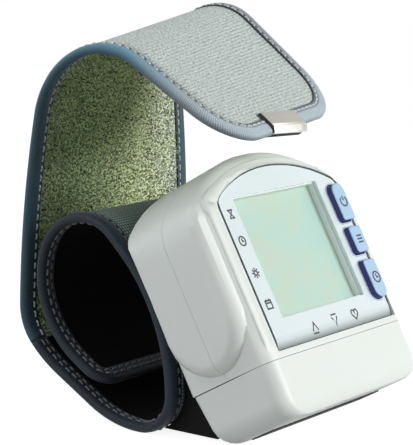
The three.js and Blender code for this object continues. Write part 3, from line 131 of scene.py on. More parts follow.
class MonitorColours(bpy.types.PropertyGroup):
    shell: colour_setting("Shell", "Colour of the moulded case shells", "#E9EFEA")
    panel: colour_setting("Panel", "Colour of the glossy display panel", "#EAF7F8")
    display: colour_setting("Display", "Colour of the display glass at rest", "#C2E5D6")
    button: colour_setting("Button", "Colour of the button caps", "#AFD0EC")
    button_side: colour_setting("Button side", "Colour of the button sides", "#051A62")
    # The ring round each button stands for the painted reflection of the button's dark side in the
    # panel.
    button_painted_reflection_ring: colour_setting("Button painted reflection ring", "Colour of the ring round each button", "#C3CDE4")
    ink: colour_setting("Ink", "Colour of the printed icons", "#2C3036")
    ribbed_cloth: colour_setting("Ribbed cloth", "Colour of the strap's outer cloth", "#CDD9D4")
    pile: colour_setting("Pile", "Colour of the strap's inner pile", "#D6EDB2")
    # The free strap's tape in two tones: the first is its colour in painted shade, the second in
    # painted light.
    tape_painted_shade: colour_setting(
        "Tape in painted shade", "Colour of the free strap's edge tape by the cuff", "#426370")
    tape_painted_light: colour_setting(
        "Tape in painted light", "Colour of the free strap's edge tape at its end", "#A9B8C0")
    cuff_tape: colour_setting("Cuff tape", "Colour of the edge tape on the cuff", "#12222E")
    cuff_cloth: colour_setting("Cuff cloth", "Colour of the cuff's outer cloth", "#4F5B58")
    lining: colour_setting("Lining", "Colour of the cuff's lining", "#020204")
    thread: colour_setting("Thread", "Colour of the sewing thread", "#F2F7F8")


def sizes():
    """The sizes that a user may change."""
    return bpy.context.scene.monitor_sizes


def colours():
    """The colours that a user may change."""
    return bpy.context.scene.monitor_colours


# Node helpers

def linear(hex_value):
    """An sRGB hex colour as linear RGBA."""
    digits = hex_value.lstrip("#")
    parts = [int(digits[i:i + 2], 16) / 255 for i in (0, 2, 4)]
    return (*[c / 12.92 if c <= 0.04045 else ((c + 0.055) / 1.055) ** 2.4 for c in parts], 1.0)


def shade(hex_value, factor):
    """A hex colour made lighter or darker."""
    digits = hex_value.lstrip("#")
    parts = [min(255, round(int(digits[i:i + 2], 16) * factor)) for i in (0, 2, 4)]
    return "#" + "".join(f"{c:02X}" for c in parts)


def shades(colour, low, high):
    """Ramp stops from a colour made darker to the same colour made lighter."""
    return [(0.0, shade(colour, low)), (1.0, shade(colour, high))]


def socket_at(sockets, key):
    """A socket that its node's settings leave in use, by its order or its name."""
    in_use = [socket for socket in sockets if socket.enabled]
    return in_use[key] if isinstance(key, int) else next(s for s in in_use if s.name == key)


def feed(tree, sockets, *in_order, **by_name):
    """Gives sockets their constants, or links from other nodes' outputs."""
    named = [(name.replace("_", " "), source) for name, source in by_name.items()]
    for key, source in [*enumerate(in_order), *named]:
        socket = socket_at(sockets, key)
        if isinstance(source, bpy.types.NodeSocket):
            tree.links.new(source, socket)
        else:
            socket.default_value = source


def add(tree, kind, *inputs, out=0, stops=(), **named):
    """Adds a node and gives one of its outputs. Its inputs come in order or by capitalised name,
    its settings by lower-case name, and a colour ramp's stops as (place, hex colour)."""
    node = tree.nodes.new("ShaderNode" + kind)
    settings = {key: value for key, value in named.items() if key.islower()}
    for key, value in settings.items():
        setattr(node, key, value)
    others = {key: value for key, value in named.items() if key not in settings}
    feed(tree, node.inputs, *inputs, **others)
    for _ in stops[2:]:
        node.color_ramp.elements.new(0.5)
    for i, (place, colour) in enumerate(stops):
        element = node.color_ramp.elements[i]
        element.position, element.color = place, linear(colour)
    return socket_at(node.outputs, out)


def start_material(name, **surface):
    """A material with a Principled surface whose constants are set on its own sockets."""
    material = bpy.data.materials.new(name)
    material.use_nodes = True
    tree = material.node_tree
    shader = tree.nodes["Principled BSDF"]
    feed(tree, shader.inputs, **surface)
    return material, tree, shader.inputs


def place_in_mm(tree):
    """The surface's own place, with one unit to the millimetre."""
    own = add(tree, "TexCoord", out="Object")
    return add(tree, "VectorMath", own, operation="SCALE", Scale=1 / MM)


def laid_in_mm(tree):
    """The place on a laid-out cloth, x along it and y across, with one unit to the millimetre."""
    laid = add(tree, "UVMap", uv_map="laid")
    return add(tree, "VectorMath", laid, operation="SCALE", Scale=1 / MM)


def mingle(tree, operation, *parts):
    """Values put together in turn; a (value, low, high) part is first laid out between the two."""
    mixed = None
    for part in parts:
        if isinstance(part, tuple):
            part = add(tree, "MapRange", part[0], To_Min=part[1], To_Max=part[2])
        mixed = add(tree, "Math", mixed, part, operation=operation) if mixed else part
    return mixed


COLOURS_MULTIPLIED = {"data_type": "RGBA", "blend_type": "MULTIPLY"}


def tinted(tree, tint, tone, low, high):
    """A tint that changes from place to place, under a tone laid out between low and high."""
    level = add(tree, "MapRange", tone, To_Min=low, To_Max=high)
    grey = add(tree, "CombineColor", level, level, level)
    return add(tree, "Mix", 1.0, tint, grey, **COLOURS_MULTIPLIED)


# Materials

# The band texture turns over once in this many units, so this over a pitch is its scale.
BAND_TURN = 2 * math.pi / 20


def abs_gloss(name, colour):
    """Injection-moulded ABS from a polished mould: soft gloss, faint waviness, fine dust specks."""
    material, tree, surface = start_material(name, IOR=1.54)
    place = place_in_mm(tree)
    flow = add(tree, "TexNoise", place, Scale=1 / 14)
    dust = add(tree, "TexNoise", place, Scale=1 / 0.6, Detail=3)
    waves = add(tree, "TexNoise", place, Scale=1 / 6, Detail=1)
    feed(
        tree, surface,
        Base_Color=add(tree, "ValToRGB", flow, stops=shades(colour, 0.985, 1.01)),
        Roughness=add(tree, "MapRange", dust, To_Min=0.4, To_Max=0.5),
        Normal=add(tree, "Bump", Height=waves, Distance=0.04 * MM, Strength=0.2))
    return material


def moulded_plastic(name, colour, roughness=0.5, gloss=0.5):
    """Moulded plastic with the fine matt grain of a spark-eroded mould."""
    material, tree, surface = start_material(name, IOR=1.5, Specular_IOR_Level=gloss)
    grain = add(tree, "TexNoise", place_in_mm(tree), Scale=1 / 0.4, Detail=3)
    feed(
        tree, surface,
        Base_Color=add(tree, "ValToRGB", grain, stops=shades(colour, 0.93, 1.05)),
        Roughness=add(tree, "MapRange", grain, To_Min=roughness - 0.06, To_Max=roughness + 0.08),
        Normal=add(tree, "Bump", Height=grain, Distance=0.02 * MM, Strength=0.4))
    return material


def acrylic_panel(name, colour):
    """Back-printed acrylic sheet: hard clear gloss over a pale print, with painted shade that greys
    it towards its lower edge.
    """
    material, tree, surface = start_material(name, IOR=1.49, Coat_Weight=0.6, Coat_Roughness=0.03)
    place = place_in_mm(tree)
    offset = add(tree, "VectorMath", place, PANEL_CENTRE, operation="SUBTRACT")
    height = add(tree, "VectorMath", offset, UP, operation="DOT_PRODUCT")
    fade = add(tree, "MapRange", height, From_Min=PANEL_FOOT, From_Max=PANEL_FOOT + PAINTED_SHADE_FADE)
    # The print darkened towards the lower edge: painted shade of the rolled edge.
    print_with_painted_shade = add(tree, "ValToRGB", fade, stops=[
        (0.0, shade(colour, 0.6)), (0.25, shade(colour, 0.74)), (0.6, shade(colour, 0.93)),
        (1.0, colour)])
    cloud = add(tree, "TexNoise", place, Scale=1 / 20, Detail=1)
    smear = add(tree, "TexNoise", place, Scale=1 / 1.2)
    feed(
        tree, surface,
        Base_Color=tinted(tree, print_with_painted_shade, cloud, 0.97, 1.0),
        Roughness=add(tree, "MapRange", smear, To_Min=0.12, To_Max=0.2))
    return material


def window_acrylic(name):
    """Clear cast acrylic: nearly nothing of it shows but a thin veil of gloss."""
    material, tree, surface = start_material(
        name, Base_Color=linear("#EEF6F4"), IOR=1.49, Alpha=0.08)
    smear = add(tree, "TexNoise", place_in_mm(tree), Scale=1 / 9)
    feed(tree, surface, Roughness=add(tree, "MapRange", smear, To_Min=0.03, To_Max=0.09))
    return material


def liquid_crystal(name, colour):
    """Reflective liquid crystal glass: a grey-green film that wanders to blue-green and rose."""
    material, tree, surface = start_material(name, IOR=1.52, Coat_Weight=0.3, Coat_Roughness=0.1)
    place = place_in_mm(tree)
    clouds = add(tree, "TexNoise", place, Scale=1 / 11, Detail=1)
    smear = add(tree, "TexNoise", place, Scale=1 / 1.5)
    feed(
        tree, surface,
        Base_Color=add(tree, "ValToRGB", clouds, stops=[
            (0.3, "#BCE3D8"), (0.45, colour), (0.56, "#C9E4CF"), (0.68, "#CFE0CF")]),
        Roughness=add(tree, "MapRange", smear, To_Min=0.26, To_Max=0.34))
    return material


def soft_rubber(name, colour):
    """Silicone rubber: matt, slightly see-through at thin edges, dusty."""
    material, tree, surface = start_material(
        name, IOR=1.41, Subsurface_Weight=0.1, Subsurface_Scale=0.002)
    dust = add(tree, "TexNoise", place_in_mm(tree), Scale=1 / 0.8, Detail=4)
    feed(
        tree, surface,
        Base_Color=add(tree, "ValToRGB", dust, stops=shades(colour, 0.94, 1.05)),
        Roughness=add(tree, "MapRange", dust, To_Min=0.6, To_Max=0.8),
        Normal=add(tree, "Bump", Height=dust, Distance=0.02 * MM, Strength=0.3))
    return material


def glass_fibre_board(name):
    """Solder-masked glass fibre board: green lacquer with darker copper runs below it."""
    material, tree, surface = start_material(
        name, IOR=1.5, Coat_Weight=0.3, Coat_Roughness=0.2, Roughness=0.4)
    runs = add(
        tree, "TexWave", place_in_mm(tree), out="Fac", Scale=BAND_TURN / 2.1, Distortion=3,
        bands_direction="DIAGONAL")
    feed(
        tree, surface,
        Base_Color=add(tree, "ValToRGB", runs, stops=[(0.0, "#25562F"), (1.0, "#3C7A48")]),
        Normal=add(tree, "Bump", Height=runs, Distance=0.03 * MM, Strength=0.4))
    return material


def bright_metal(name, colour, roughness):
    """Rolled sheet or drawn wire: bright metal with fine scratches, 4 mm long and 0.33 mm wide."""
    material, tree, surface = start_material(name, Metallic=1.0)
    drawn = add(tree, "VectorMath", place_in_mm(tree), (1.0, 12.0, 12.0), operation="MULTIPLY")
    scratches = add(tree, "TexNoise", drawn, Scale=1 / 4, Detail=3)
    feed(
        tree, surface,
        Base_Color=add(tree, "ValToRGB", scratches, stops=shades(colour, 0.92, 1.04)),
        Roughness=add(tree, "MapRange", scratches, To_Min=roughness - 0.06, To_Max=roughness + 0.1),
        Normal=add(tree, "Bump", Height=scratches, Distance=0.01 * MM, Strength=0.25))
    return material


def shrink_wrapped_cell(name):
    """Printed shrink sleeve over a steel can: dark body, one light band near the positive end."""
    material, tree, surface = start_material(
        name, IOR=1.5, Coat_Weight=0.5, Coat_Roughness=0.1, Roughness=0.3)
    place = place_in_mm(tree)
    low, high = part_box("battery_1")
    along = add(tree, "SeparateXYZ", place, out="Y")
    share = add(tree, "MapRange", along, From_Min=low.y / MM, From_Max=high.y / MM)
    can, sleeve, band = "#B7BABD", "#3A444E", "#C08A4A"
    dents = add(tree, "TexNoise", place, Scale=1 / 2.5)
    feed(
        tree, surface,
        Base_Color=add(tree, "ValToRGB", share, stops=[
            (0.0, can), (0.05, sleeve), (0.79, shade(sleeve, 0.95)), (0.81, band), (0.97, band),
            (0.98, can)]),
        Normal=add(tree, "Bump", Height=dents, Distance=0.02 * MM, Strength=0.2))
    return material


def ribbed_weave(name, colour, pitch_mm):
    """Loop-faced ribbed weave: pale crosswise ribs, darker furrows, a broken fuzzy thread texture.
    Its threads are about 0.3 mm; they are drawn at 0.8 mm so that they show."""
    material, tree, surface = start_material(
        name, Roughness=0.92, Sheen_Weight=0.2, Sheen_Roughness=0.5)
    laid = laid_in_mm(tree)
    ribs = add(tree, "TexWave", laid, out="Fac", Scale=BAND_TURN / pitch_mm, Distortion=1.2)
    threads = add(tree, "TexNoise", laid, Scale=1 / 0.8, Detail=3, Roughness=0.8)
    widened = add(tree, "VectorMath", laid, (1.6, 0.8, 1.0), operation="MULTIPLY")
    loops = add(tree, "TexNoise", widened, Scale=1 / 1.1, Detail=3)
    wear = add(tree, "TexNoise", laid, Scale=1 / 6, Detail=3)
    mixed = mingle(tree, "ADD", (ribs, 0.1, 0.3), (threads, -0.8, 1.6))
    tone = mingle(tree, "MULTIPLY", mixed, (loops, 0.85, 1.2), (wear, 0.9, 1.08))
    feed(
        tree, surface,
        Base_Color=add(tree, "ValToRGB", tone, stops=[
            (0.2, shade(colour, 0.6)), (0.42, shade(colour, 0.88)), (0.62, colour),
            (0.95, shade(colour, 1.16))]),
        Normal=add(tree, "Bump", Height=mixed, Distance=0.25 * MM, Strength=0.9))
    return material


def fleece_pile(name, colour, half_width_mm):
    """Brushed nylon pile: olive fibres whose tips catch the light, with painted light that makes it
    paler towards the far edge.
    Its fibres are about 0.05 mm; they are drawn as clumps of 0.7 mm so that they show."""
    material, tree, surface = start_material(
        name, Roughness=1.0, Sheen_Weight=0.15, Sheen_Roughness=0.6)
    laid = laid_in_mm(tree)
    across = add(tree, "SeparateXYZ", laid, out="Y")
    painted_light_across = add(tree, "MapRange", across, From_Min=-half_width_mm, From_Max=half_width_mm)
    widened = add(tree, "VectorMath", laid, (1.0, 0.7, 1.0), operation="MULTIPLY")
    clumps = add(tree, "TexNoise", widened, Scale=1 / 0.7, Detail=4, Roughness=0.85)
    brushed = add(tree, "TexNoise", laid, Scale=1 / 9, Detail=3)
    # Painted light: the pile's colour grows paler across the strap towards its far edge.
    tint = add(tree, "ValToRGB", mingle(tree, "ADD", painted_light_across, (brushed, -0.2, 0.25)), stops=[
        (0.0, shade(colour, 0.8)), (0.35, colour), (0.7, shade(colour, 1.14)), (1.0, "#E4EDDA")])
    tone = add(tree, "MapRange", clumps, From_Min=0.42, From_Max=0.61)
    feed(
        tree, surface,
        Base_Color=tinted(tree, tint, tone, 0.0, 1.9),
        Normal=add(tree, "Bump", Height=clumps, Distance=0.8 * MM, Strength=0.9))
    return material


def twill_tape(name, tones):
    """Woven polyester binding: fine ribs across the tape with a satin sheen, toned along it at
    shares of its length, painted light and shade on the free strap, and painted with shade round
    its fold: darker over the fold and the wrist side, darkest at its borders past the seams.
    Its ribs are about 0.4 mm apart; they are drawn at 0.6 mm so that they show."""
    material, tree, surface = start_material(
        name, Roughness=0.6, Sheen_Weight=0.15, Sheen_Roughness=0.4, Specular_IOR_Level=0.3)
    laid = laid_in_mm(tree)
    along, lap = (add(tree, "SeparateXYZ", laid, out=axis) for axis in "XY")
    length_share = add(tree, "MapRange", along, From_Min=0.0, From_Max=TAPE_LENGTH)
    lap_share = add(tree, "MapRange", lap, From_Min=-TAPE_LAP, From_Max=TAPE_LAP)
    # Shade painted round the fold, as tones across the tape.
    painted_shade_lap_stops = [((place + TAPE_LAP) / (2 * TAPE_LAP), tone) for place, tone in TAPE_PAINTED_SHADE_TONES]
    tint = add(
        tree, "Mix", 1.0, add(tree, "ValToRGB", length_share, stops=tones),
        add(tree, "ValToRGB", lap_share, stops=painted_shade_lap_stops), **COLOURS_MULTIPLIED)
    slanted = add(tree, "Mapping", laid, Rotation=(0.0, 0.0, math.radians(14)))
    ribs = add(tree, "TexWave", slanted, out="Fac", Scale=BAND_TURN / 0.6, Distortion=0.4)
    threads = add(tree, "TexNoise", laid, Scale=1 / 0.5, Roughness=0.8)
    wear = add(tree, "TexNoise", laid, Scale=1 / 7)
    woven = mingle(tree, "ADD", (ribs, 0.1, 0.6), (threads, 0.0, 0.7))
    tone = mingle(tree, "MULTIPLY", woven, (wear, 0.85, 1.15))
    feed(
        tree, surface,
        Base_Color=tinted(tree, tint, tone, 0.35, 1.7),
        Normal=add(tree, "Bump", Height=woven, Distance=0.16 * MM, Strength=0.9))
    return material


def knitted_cloth(name, colour, loop_mm, lint, sheen=0.12):
    """Brushed warp knit: dark cloth with a fine broken grid of loops and pale lint."""
    material, tree, surface = start_material(
        name, Roughness=1.0, Sheen_Weight=sheen, Sheen_Roughness=0.5, Specular_IOR_Level=0.1)
    laid = laid_in_mm(tree)
    courses, wales = (
        add(
            tree, "TexWave", laid, out="Fac", Scale=BAND_TURN / loop_mm, Distortion=1.0,
            bands_direction=way)
        for way in "XY")
    fuzz = add(tree, "TexNoise", laid, Scale=1 / 0.5, Detail=4, Roughness=0.8)
    loops = mingle(tree, "MULTIPLY", courses, wales)
    tone = mingle(tree, "ADD", (loops, 0.25, 0.6), (fuzz, 0.0, 0.7))
    feed(
        tree, surface,
        Base_Color=add(tree, "ValToRGB", tone, stops=[
            (0.3, shade(colour, 0.5)), (0.6, colour), (0.95, shade(colour, lint))]),
        Normal=add(tree, "Bump", Height=tone, Distance=0.2 * MM, Strength=0.7))
    return material


def sewing_thread(name, colour):
    """Twisted polyester thread: pale, with the dark twist lines of its three plies."""
    material, tree, surface = start_material(name, Roughness=0.6, Sheen_Weight=0.3)
    twist = add(
        tree, "TexWave", laid_in_mm(tree), out="Fac", Scale=BAND_TURN / 0.45,
        bands_direction="DIAGONAL")
    feed(tree, surface, Base_Color=add(tree, "ValToRGB", twist, stops=shades(colour, 0.75, 1.08)))
    return material


def printed_ink(name, colour):
    """Pad-printed ink: flat, slightly uneven in its cover."""
    material, tree, surface = start_material(name, Roughness=0.45)
    cover = add(tree, "TexNoise", place_in_mm(tree), Scale=1 / 0.35, Detail=3)
    feed(tree, surface, Base_Color=add(tree, "ValToRGB", cover, stops=shades(colour, 0.85, 1.35)))
    return material


# Over how many mm up from the panel's lower edge its painted shade fades away.
PAINTED_SHADE_FADE = 3.6

# The length along which the tape's tones run, and how far they reach to each side of its fold.
TAPE_LENGTH = 360.0
TAPE_LAP = 7.0
# Painted shade round the fold, in mm from it: the outer face below zero, the wrist side above;
# darker over the fold and the wrist side, darkest at each border past the seam.
TAPE_PAINTED_SHADE_TONES = [
    (-7.0, "#101010"), (-5.7, "#101010"), (-5.45, "#A4A4A4"), (-4.5, "#A4A4A4"), (-3.6, "#FFFFFF"),
    (-1.2, "#F0F0F0"), (-0.2, "#C8C8C8"), (0.8, "#A8A8A8"), (2.2, "#C0C0C0"), (5.4, "#C0C0C0"),
    (5.9, "#686868")]
MATERIALS = {}


def material_of(key):
    """A finish that make_materials has made."""
    return MATERIALS[key]


def make_materials():
    """Makes every finish from the colours and sizes."""
    c = colours()
    half_width = sizes().strap_half_width / MM
    root, end = c.tape_painted_shade, c.tape_painted_light
    # Tones along the free strap's tape, from the root up the near side, round the end and down the
    # far side: painted light over the top and round the end, painted shade by the root and down the
    # far side.
    strap_painted_light_tones = [
        (0.0, root), (0.19, root), (0.3, shade(root, 1.35)), (0.37, shade(end, 0.88)), (0.43, end),
        (0.56, end), (0.64, shade(end, 0.78)), (0.76, shade(end, 0.62)), (0.86, root), (1.0, root)]
    MATERIALS.update({
        "shell": abs_gloss("glossy moulded ABS", c.shell),
        "panel": acrylic_panel("back-printed acrylic", c.panel),
        "window": window_acrylic("clear cast acrylic"),
        "display": liquid_crystal("liquid crystal glass", c.display),
        "button": abs_gloss("button ABS", c.button),
        "button_side": moulded_plastic("button side ABS", c.button_side, 0.35),
        "button_painted_reflection_ring": moulded_plastic("painted reflection ring ABS", c.button_painted_reflection_ring, 0.35),
        "ink": printed_ink("pad-printed ink", c.ink),
        "inner": moulded_plastic("matt moulded ABS", "#C9CCCA", 0.55),
        "reveal": moulded_plastic("pale moulded frame", "#F2F6F6", 0.6),
        # Black plastic: on the beeper its own colour, on the cuff mount plate painted shade.
        "black_plastic": moulded_plastic("black moulded ABS and painted shade", "#050507", 0.7, 0.12),
        "silicone": soft_rubber("grey silicone rubber", "#6D7276"),
        # Black rubber for painted shade: the strip under the end cover and the sheet under the
        # clip.
        "black_rubber": soft_rubber("black rubber", "#08090A"),
        # A dark rubber for the line of painted shadow round the panel.
        "painted_shadow_line": soft_rubber("dark rubber for painted shadow", "#2C2F33"),
        "tube_rubber": soft_rubber("clear silicone tube", "#D5D8D4"),
        "board": glass_fibre_board("glass fibre board"),
        "steel": bright_metal("nickel-plated steel", "#C3C6C8", 0.3),
        "clip": bright_metal("nickel-plated brass sheet", "#B3B2A7", 0.5),
        # A brighter copy of the clip's metal for its lip: painted highlight.
        "clip_lip": bright_metal("nickel with painted highlight", "#F1F1EC", 0.25),
        "cell": shrink_wrapped_cell("shrink-wrapped cell"),
        "stiffener": moulded_plastic("polypropylene sheet", "#C7C9C4", 0.5),
        "ribbed": ribbed_weave("ribbed loop weave", c.ribbed_cloth, sizes().rib_pitch / MM),
        "pile": fleece_pile("brushed nylon pile", c.pile, half_width),
        "strap_tape": twill_tape("polyester twill tape with painted light", strap_painted_light_tones),
        "cuff_tape": twill_tape(
            "navy polyester twill tape", [(0.0, c.cuff_tape), (1.0, c.cuff_tape)]),
        "cuff": knitted_cloth("brushed warp knit", c.cuff_cloth, 1.0, 2.2),
        "lining": knitted_cloth("lining knit", c.lining, 0.7, 1.3, 0.0),
        "thread": sewing_thread("twisted polyester thread", c.thread),
        "cuff_thread": sewing_thread("grey polyester thread", shade(c.thread, 0.42)),
    })


FINISH_OF_NODE = {
    "shell": ["front_cover", "rear_cover", "battery_cover"],
    "panel": ["display_panel"],
    "window": ["window_lens"],
    "display": ["lcd_glass"],
    "button": ["time_button", "memory_button", "power_button"],
    "inner": ["lcd_frame", "pump_head", "battery_tray", "release_valve", "air_manifold"],
    # The cuff mount plate's black fills a wedge between cuff and case that lies in shade: partly a
    # plate, partly painted shade.
    "black_plastic": ["cuff_mount_plate", "beeper"],
    "silicone": ["button_pad", "lcd_connector", "air_bladder"],
    "tube_rubber": ["pump_hose", "valve_hose", "sensor_hose"],
    "board": ["circuit_board"],
    "steel": [
        "case_screw_1", "case_screw_2", "case_screw_3", "case_screw_4", "pump_motor",
        "pressure_sensor", "contact_link", "contact_plus", "contact_minus"],
    "clip": ["strap_end_clip"],
    "cell": ["battery_1", "battery_2"],
    "stiffener": ["cuff_stiffener"],
    "cuff": ["cuff_outer_cover"],
    "lining": ["cuff_lining"],
    "cuff_tape": ["cuff_edge_tape"],
    "strap_tape": ["strap_edge_tape"],
    "ribbed": ["strap_face"],
    "pile": ["strap_pile"],
}


# Mesh helpers

def piece_from(name, rows, material, laid=None):
    """Skins rows of points in millimetres, each row a ring, and lays the cloth out in a UV map."""
    mesh = bmesh.new()
    laid_layer = mesh.loops.layers.uv.new("laid")
    grid = [[mesh.verts.new(Vector(p) * MM) for p in row] for row in rows]
    count = len(rows[0])
    for r in range(len(grid) - 1):
        for i in range(count):
            j = (i + 1) % count
            face = mesh.faces.new((grid[r][i], grid[r][j], grid[r + 1][j], grid[r + 1][i]))
            face.smooth = True
            if laid:
                ends = (laid[r][i], laid[r][j], laid[r + 1][j], laid[r + 1][i])
                for loop, (along, across) in zip(face.loops, ends):
                    loop[laid_layer].uv = (along * MM, across * MM)
    for row in (grid[0], grid[-1]):
        for i in range(count // 2 - 1):
            mesh.faces.new((row[i], row[i + 1], row[count - 2 - i], row[count - 1 - i]))
        if count % 2:
            middle = count // 2
            mesh.faces.new((row[middle - 1], row[middle], row[middle + 1]))
    return finish_mesh(name, mesh, material)


def skin(mesh, rings, around=False, smooth=False):
    """Faces between rings of points, on round to the first ring or closed by end faces."""
    pairs = list(zip(rings, rings[1:]))
    if around:
        pairs.append((rings[-1], rings[0]))
    for low, high in pairs:
        for i in range(len(low)):
            j = (i + 1) % len(low)
            mesh.faces.new((low[i], low[j], high[j], high[i])).smooth = smooth
    if not around:
        mesh.faces.new(rings[0])
        mesh.faces.new(rings[-1])


def finish_mesh(name, mesh, material):
    """Turns a mesh under work into a piece of the scene with one finish."""
    bmesh.ops.recalc_face_normals(mesh, faces=mesh.faces)
    data = bpy.data.meshes.new(name)
    mesh.to_mesh(data)
    mesh.free()
    data.materials.append(material)
    piece = bpy.data.objects.new(name, data)
    bpy.context.scene.collection.objects.link(piece)
    return piece


def scatter(index, salt=0):
    """An even-handed number from 0 to 1 for an index, the same on each run."""
    value = math.sin(index * 12.9898 + salt * 78.233) * 43758.5453
    return value - math.floor(value)


WELD = 0.002
FLAT_ENOUGH = math.radians(0.4)
ROLLED_EDGE = math.radians(32)
CRISP_EDGE = math.radians(38)


def softened_copy(name, node, material, reshape):
    """A copy of a solid with its facets joined, its sharp edges rolled and its curves smooth."""
    mesh = bmesh.new()
    mesh.from_mesh(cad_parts[node].data)
    bmesh.ops.remove_doubles(mesh, verts=mesh.verts, dist=WELD * MM)
    bmesh.ops.dissolve_limit(
        mesh, angle_limit=FLAT_ENOUGH, verts=mesh.verts, edges=mesh.edges,
        use_dissolve_boundaries=False)
    reshape(mesh)
    sharp = [
        edge for edge in mesh.edges
        if len(edge.link_faces) == 2 and edge.calc_face_angle(0) > ROLLED_EDGE]
    bmesh.ops.bevel(
        mesh, geom=sharp, offset=sizes().soft_edge, segments=2, profile=0.5, affect="EDGES",
        clamp_overlap=True)
    for face in mesh.faces:
        face.smooth = True
    piece = finish_mesh(name, mesh, material)
    piece.data.set_sharp_from_angle(angle=CRISP_EDGE)
    weighted = piece.modifiers.new("even shading", "WEIGHTED_NORMAL")
    weighted.keep_sharp = True
    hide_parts(node)
    return piece


def settle(piece, body):
    """Fixes a piece to the body it moves with."""
    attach(piece, body)


# Strap geometry

def bend(radius, turn):
    """A step of a path: a bend's length and the degrees it turns."""
    return radius * math.radians(abs(turn)), turn


def run(length, turn=0.0):
    """A step of a path: a straight or slightly curved run."""
    return length, turn


HINGE = (-40.1379, 19.0739)
LOOP_CHAIN = [
    bend(43, 16), run(14), bend(34, 30), bend(11.5, 90), bend(53.1, 29), bend(53.1, 17), run(5.2),
    bend(15.6, 44), bend(16.5, 70), bend(24, 45), bend(30, 30), run(13, 10)]
NEAR_CHAIN = [bend(15.5, -46), run(54.5, -10.1), bend(24.7, -108.3), run(38.1)]
FAR_CHAIN = [bend(15.5, -46), run(62, 8), bend(18.1, -133.5), run(41.3)]
SWOLLEN_STEPS = (3, 6)
SWELL = 2.4
SWELL_RAMP = 5.0
SWELL_MARGIN = 5.3
CLOTH = 0.8
LAYER_GAP = 0.3
STRAP_INNER = 2 * CLOTH + LAYER_GAP
STRAP_START = 0.15


def step_point(x, z, heading, length, turn, share):
    """The place and heading at a share of a step."""
    start, turned_by = math.radians(heading), math.radians(turn) * share
    if abs(turn) < 1e-6:
        return x + length * share * math.cos(start), z + length * share * math.sin(start), heading
    radius = length / math.radians(turn)
    return (
        x + radius * (math.sin(start + turned_by) - math.sin(start)),
        z - radius * (math.cos(start + turned_by) - math.cos(start)),
        heading + turn * share)


class Strap:
    """A strap between a near and a far edge, walked together in the upright plane."""

    def __init__(self, heading, near, far, wrist_side, corner):
        self.near, self.far = self.walk(heading, near), self.walk(heading, far)
        self.wrist_side = wrist_side
        self.corner = corner
        self.half = sizes().strap_half_width / MM
        self.lengths = [(a[3] + b[3]) / 2 for a, b in zip(self.near, self.far)]
        self.length = sum(self.lengths)

    @staticmethod
    def walk(heading, chain):
        """The steps of an edge, each with the place and heading where it starts."""
        steps, at = [], (*HINGE, heading)
        for length, turn in chain:
            steps.append((*at, length, turn))
            at = step_point(*steps[-1], 1)
        return steps

    def station(self, along):
        """The step that holds a place along the strap, and how far into it the place lies."""
        left = along
        for step, length in enumerate(self.lengths):
            if left <= length or step == len(self.lengths) - 1:
                return step, left / length
            left -= length

    def point(self, along, across, depth):
        """A point of the strap; depth runs from its outer face towards the wrist."""
        step, share = self.station(along)
        ax, az, a_heading = step_point(*self.near[step], share)
        bx, bz, b_heading = step_point(*self.far[step], share)
        mix = (across / self.half + 1) / 2
        place = Vector((ax, -self.half, az)).lerp(Vector((bx, self.half, bz)), mix)
        headings = [math.radians(heading) for heading in (a_heading, b_heading)]
        way = [Vector((math.cos(heading), 0, math.sin(heading))) for heading in headings]
        generator = Vector((bx - ax, 2 * self.half, bz - az))
        inward = way[0].lerp(way[1], mix).cross(generator).normalized() * self.wrist_side
        place += inward * depth
        place.y += STRAP_MIDDLE_Y
        return place

    def rows(self, margin, spacing):
        """Places along the strap with its half width there, closer together round the corners."""
        half = self.half - margin
        rounding = self.corner - margin
        reach = self.length - self.corner - STRAP_START
        count = max(2, round(reach / spacing))
        rows = [(STRAP_START + reach * i / count, half) for i in range(count + 1)]
        corner_count = max(8, round(1.6 * rounding / spacing / 2))
        for i in range(1, corner_count + 1):
            angle = math.pi / 2 * i / corner_count
            along = self.length - margin - rounding * (1 - math.sin(angle))
            rows.append((along, half - rounding * (1 - math.cos(angle))))
        return rows

    def half_at(self, along, margin):
        """Half width inside the margin at a place along the strap."""
        rounding = self.corner - margin
        past = max(0.0, along - self.length + self.corner)
        return self.half - self.corner + math.sqrt(max(0.0, rounding ** 2 - past ** 2))

    def on_side(self, along, side):
        """A place on a long edge, for a distance in from it."""
        return lambda inward: (along, side * (self.half - inward))

    def on_corner(self, angle, side):
        """A place on a rounded corner, for a distance in from it."""
        def place(inward):
            radius = self.corner - inward
            return (
                self.length - self.corner + radius * math.sin(angle),
                side * (self.half - self.corner + radius * math.cos(angle)))
        return place

    def on_end(self, across):
        """A place on the end's edge, for a distance in from it."""
        return lambda inward: (self.length - inward, across)

    def rim(self, spacing):
        """Places round the strap's edge; each gives the place at a distance in from it."""
        straight_end = self.length - self.corner
        straight_half = self.half - self.corner
        side_count = max(2, round(straight_end / spacing))
        corner_count = max(6, round(self.corner * math.pi / 2 / spacing))
        end_count = max(2, round(2 * straight_half / spacing))
        alongs = [
            STRAP_START + (straight_end - STRAP_START) * i / side_count
            for i in range(side_count + 1)]
        angles = [math.pi / 2 * i / corner_count for i in range(1, corner_count)]
        acrosses = [straight_half * (2 * i / end_count - 1) for i in range(end_count + 1)]
        return [
            *[self.on_side(along, -1) for along in alongs],
            *[self.on_corner(angle, -1) for angle in angles],
            *[self.on_end(across) for across in acrosses],
            *[self.on_corner(angle, 1) for angle in reversed(angles)],
            *[self.on_side(along, 1) for along in reversed(alongs)]]


def loop_strap():
    """The cuff's loop, from the hinge under the case and round the wrist."""
    return Strap(-46, LOOP_CHAIN, LOOP_CHAIN, 1, 7)


def tail_strap():
    """The free strap, from the hinge up and over to the clip."""
    return Strap(134, NEAR_CHAIN, FAR_CHAIN, -1, 17)


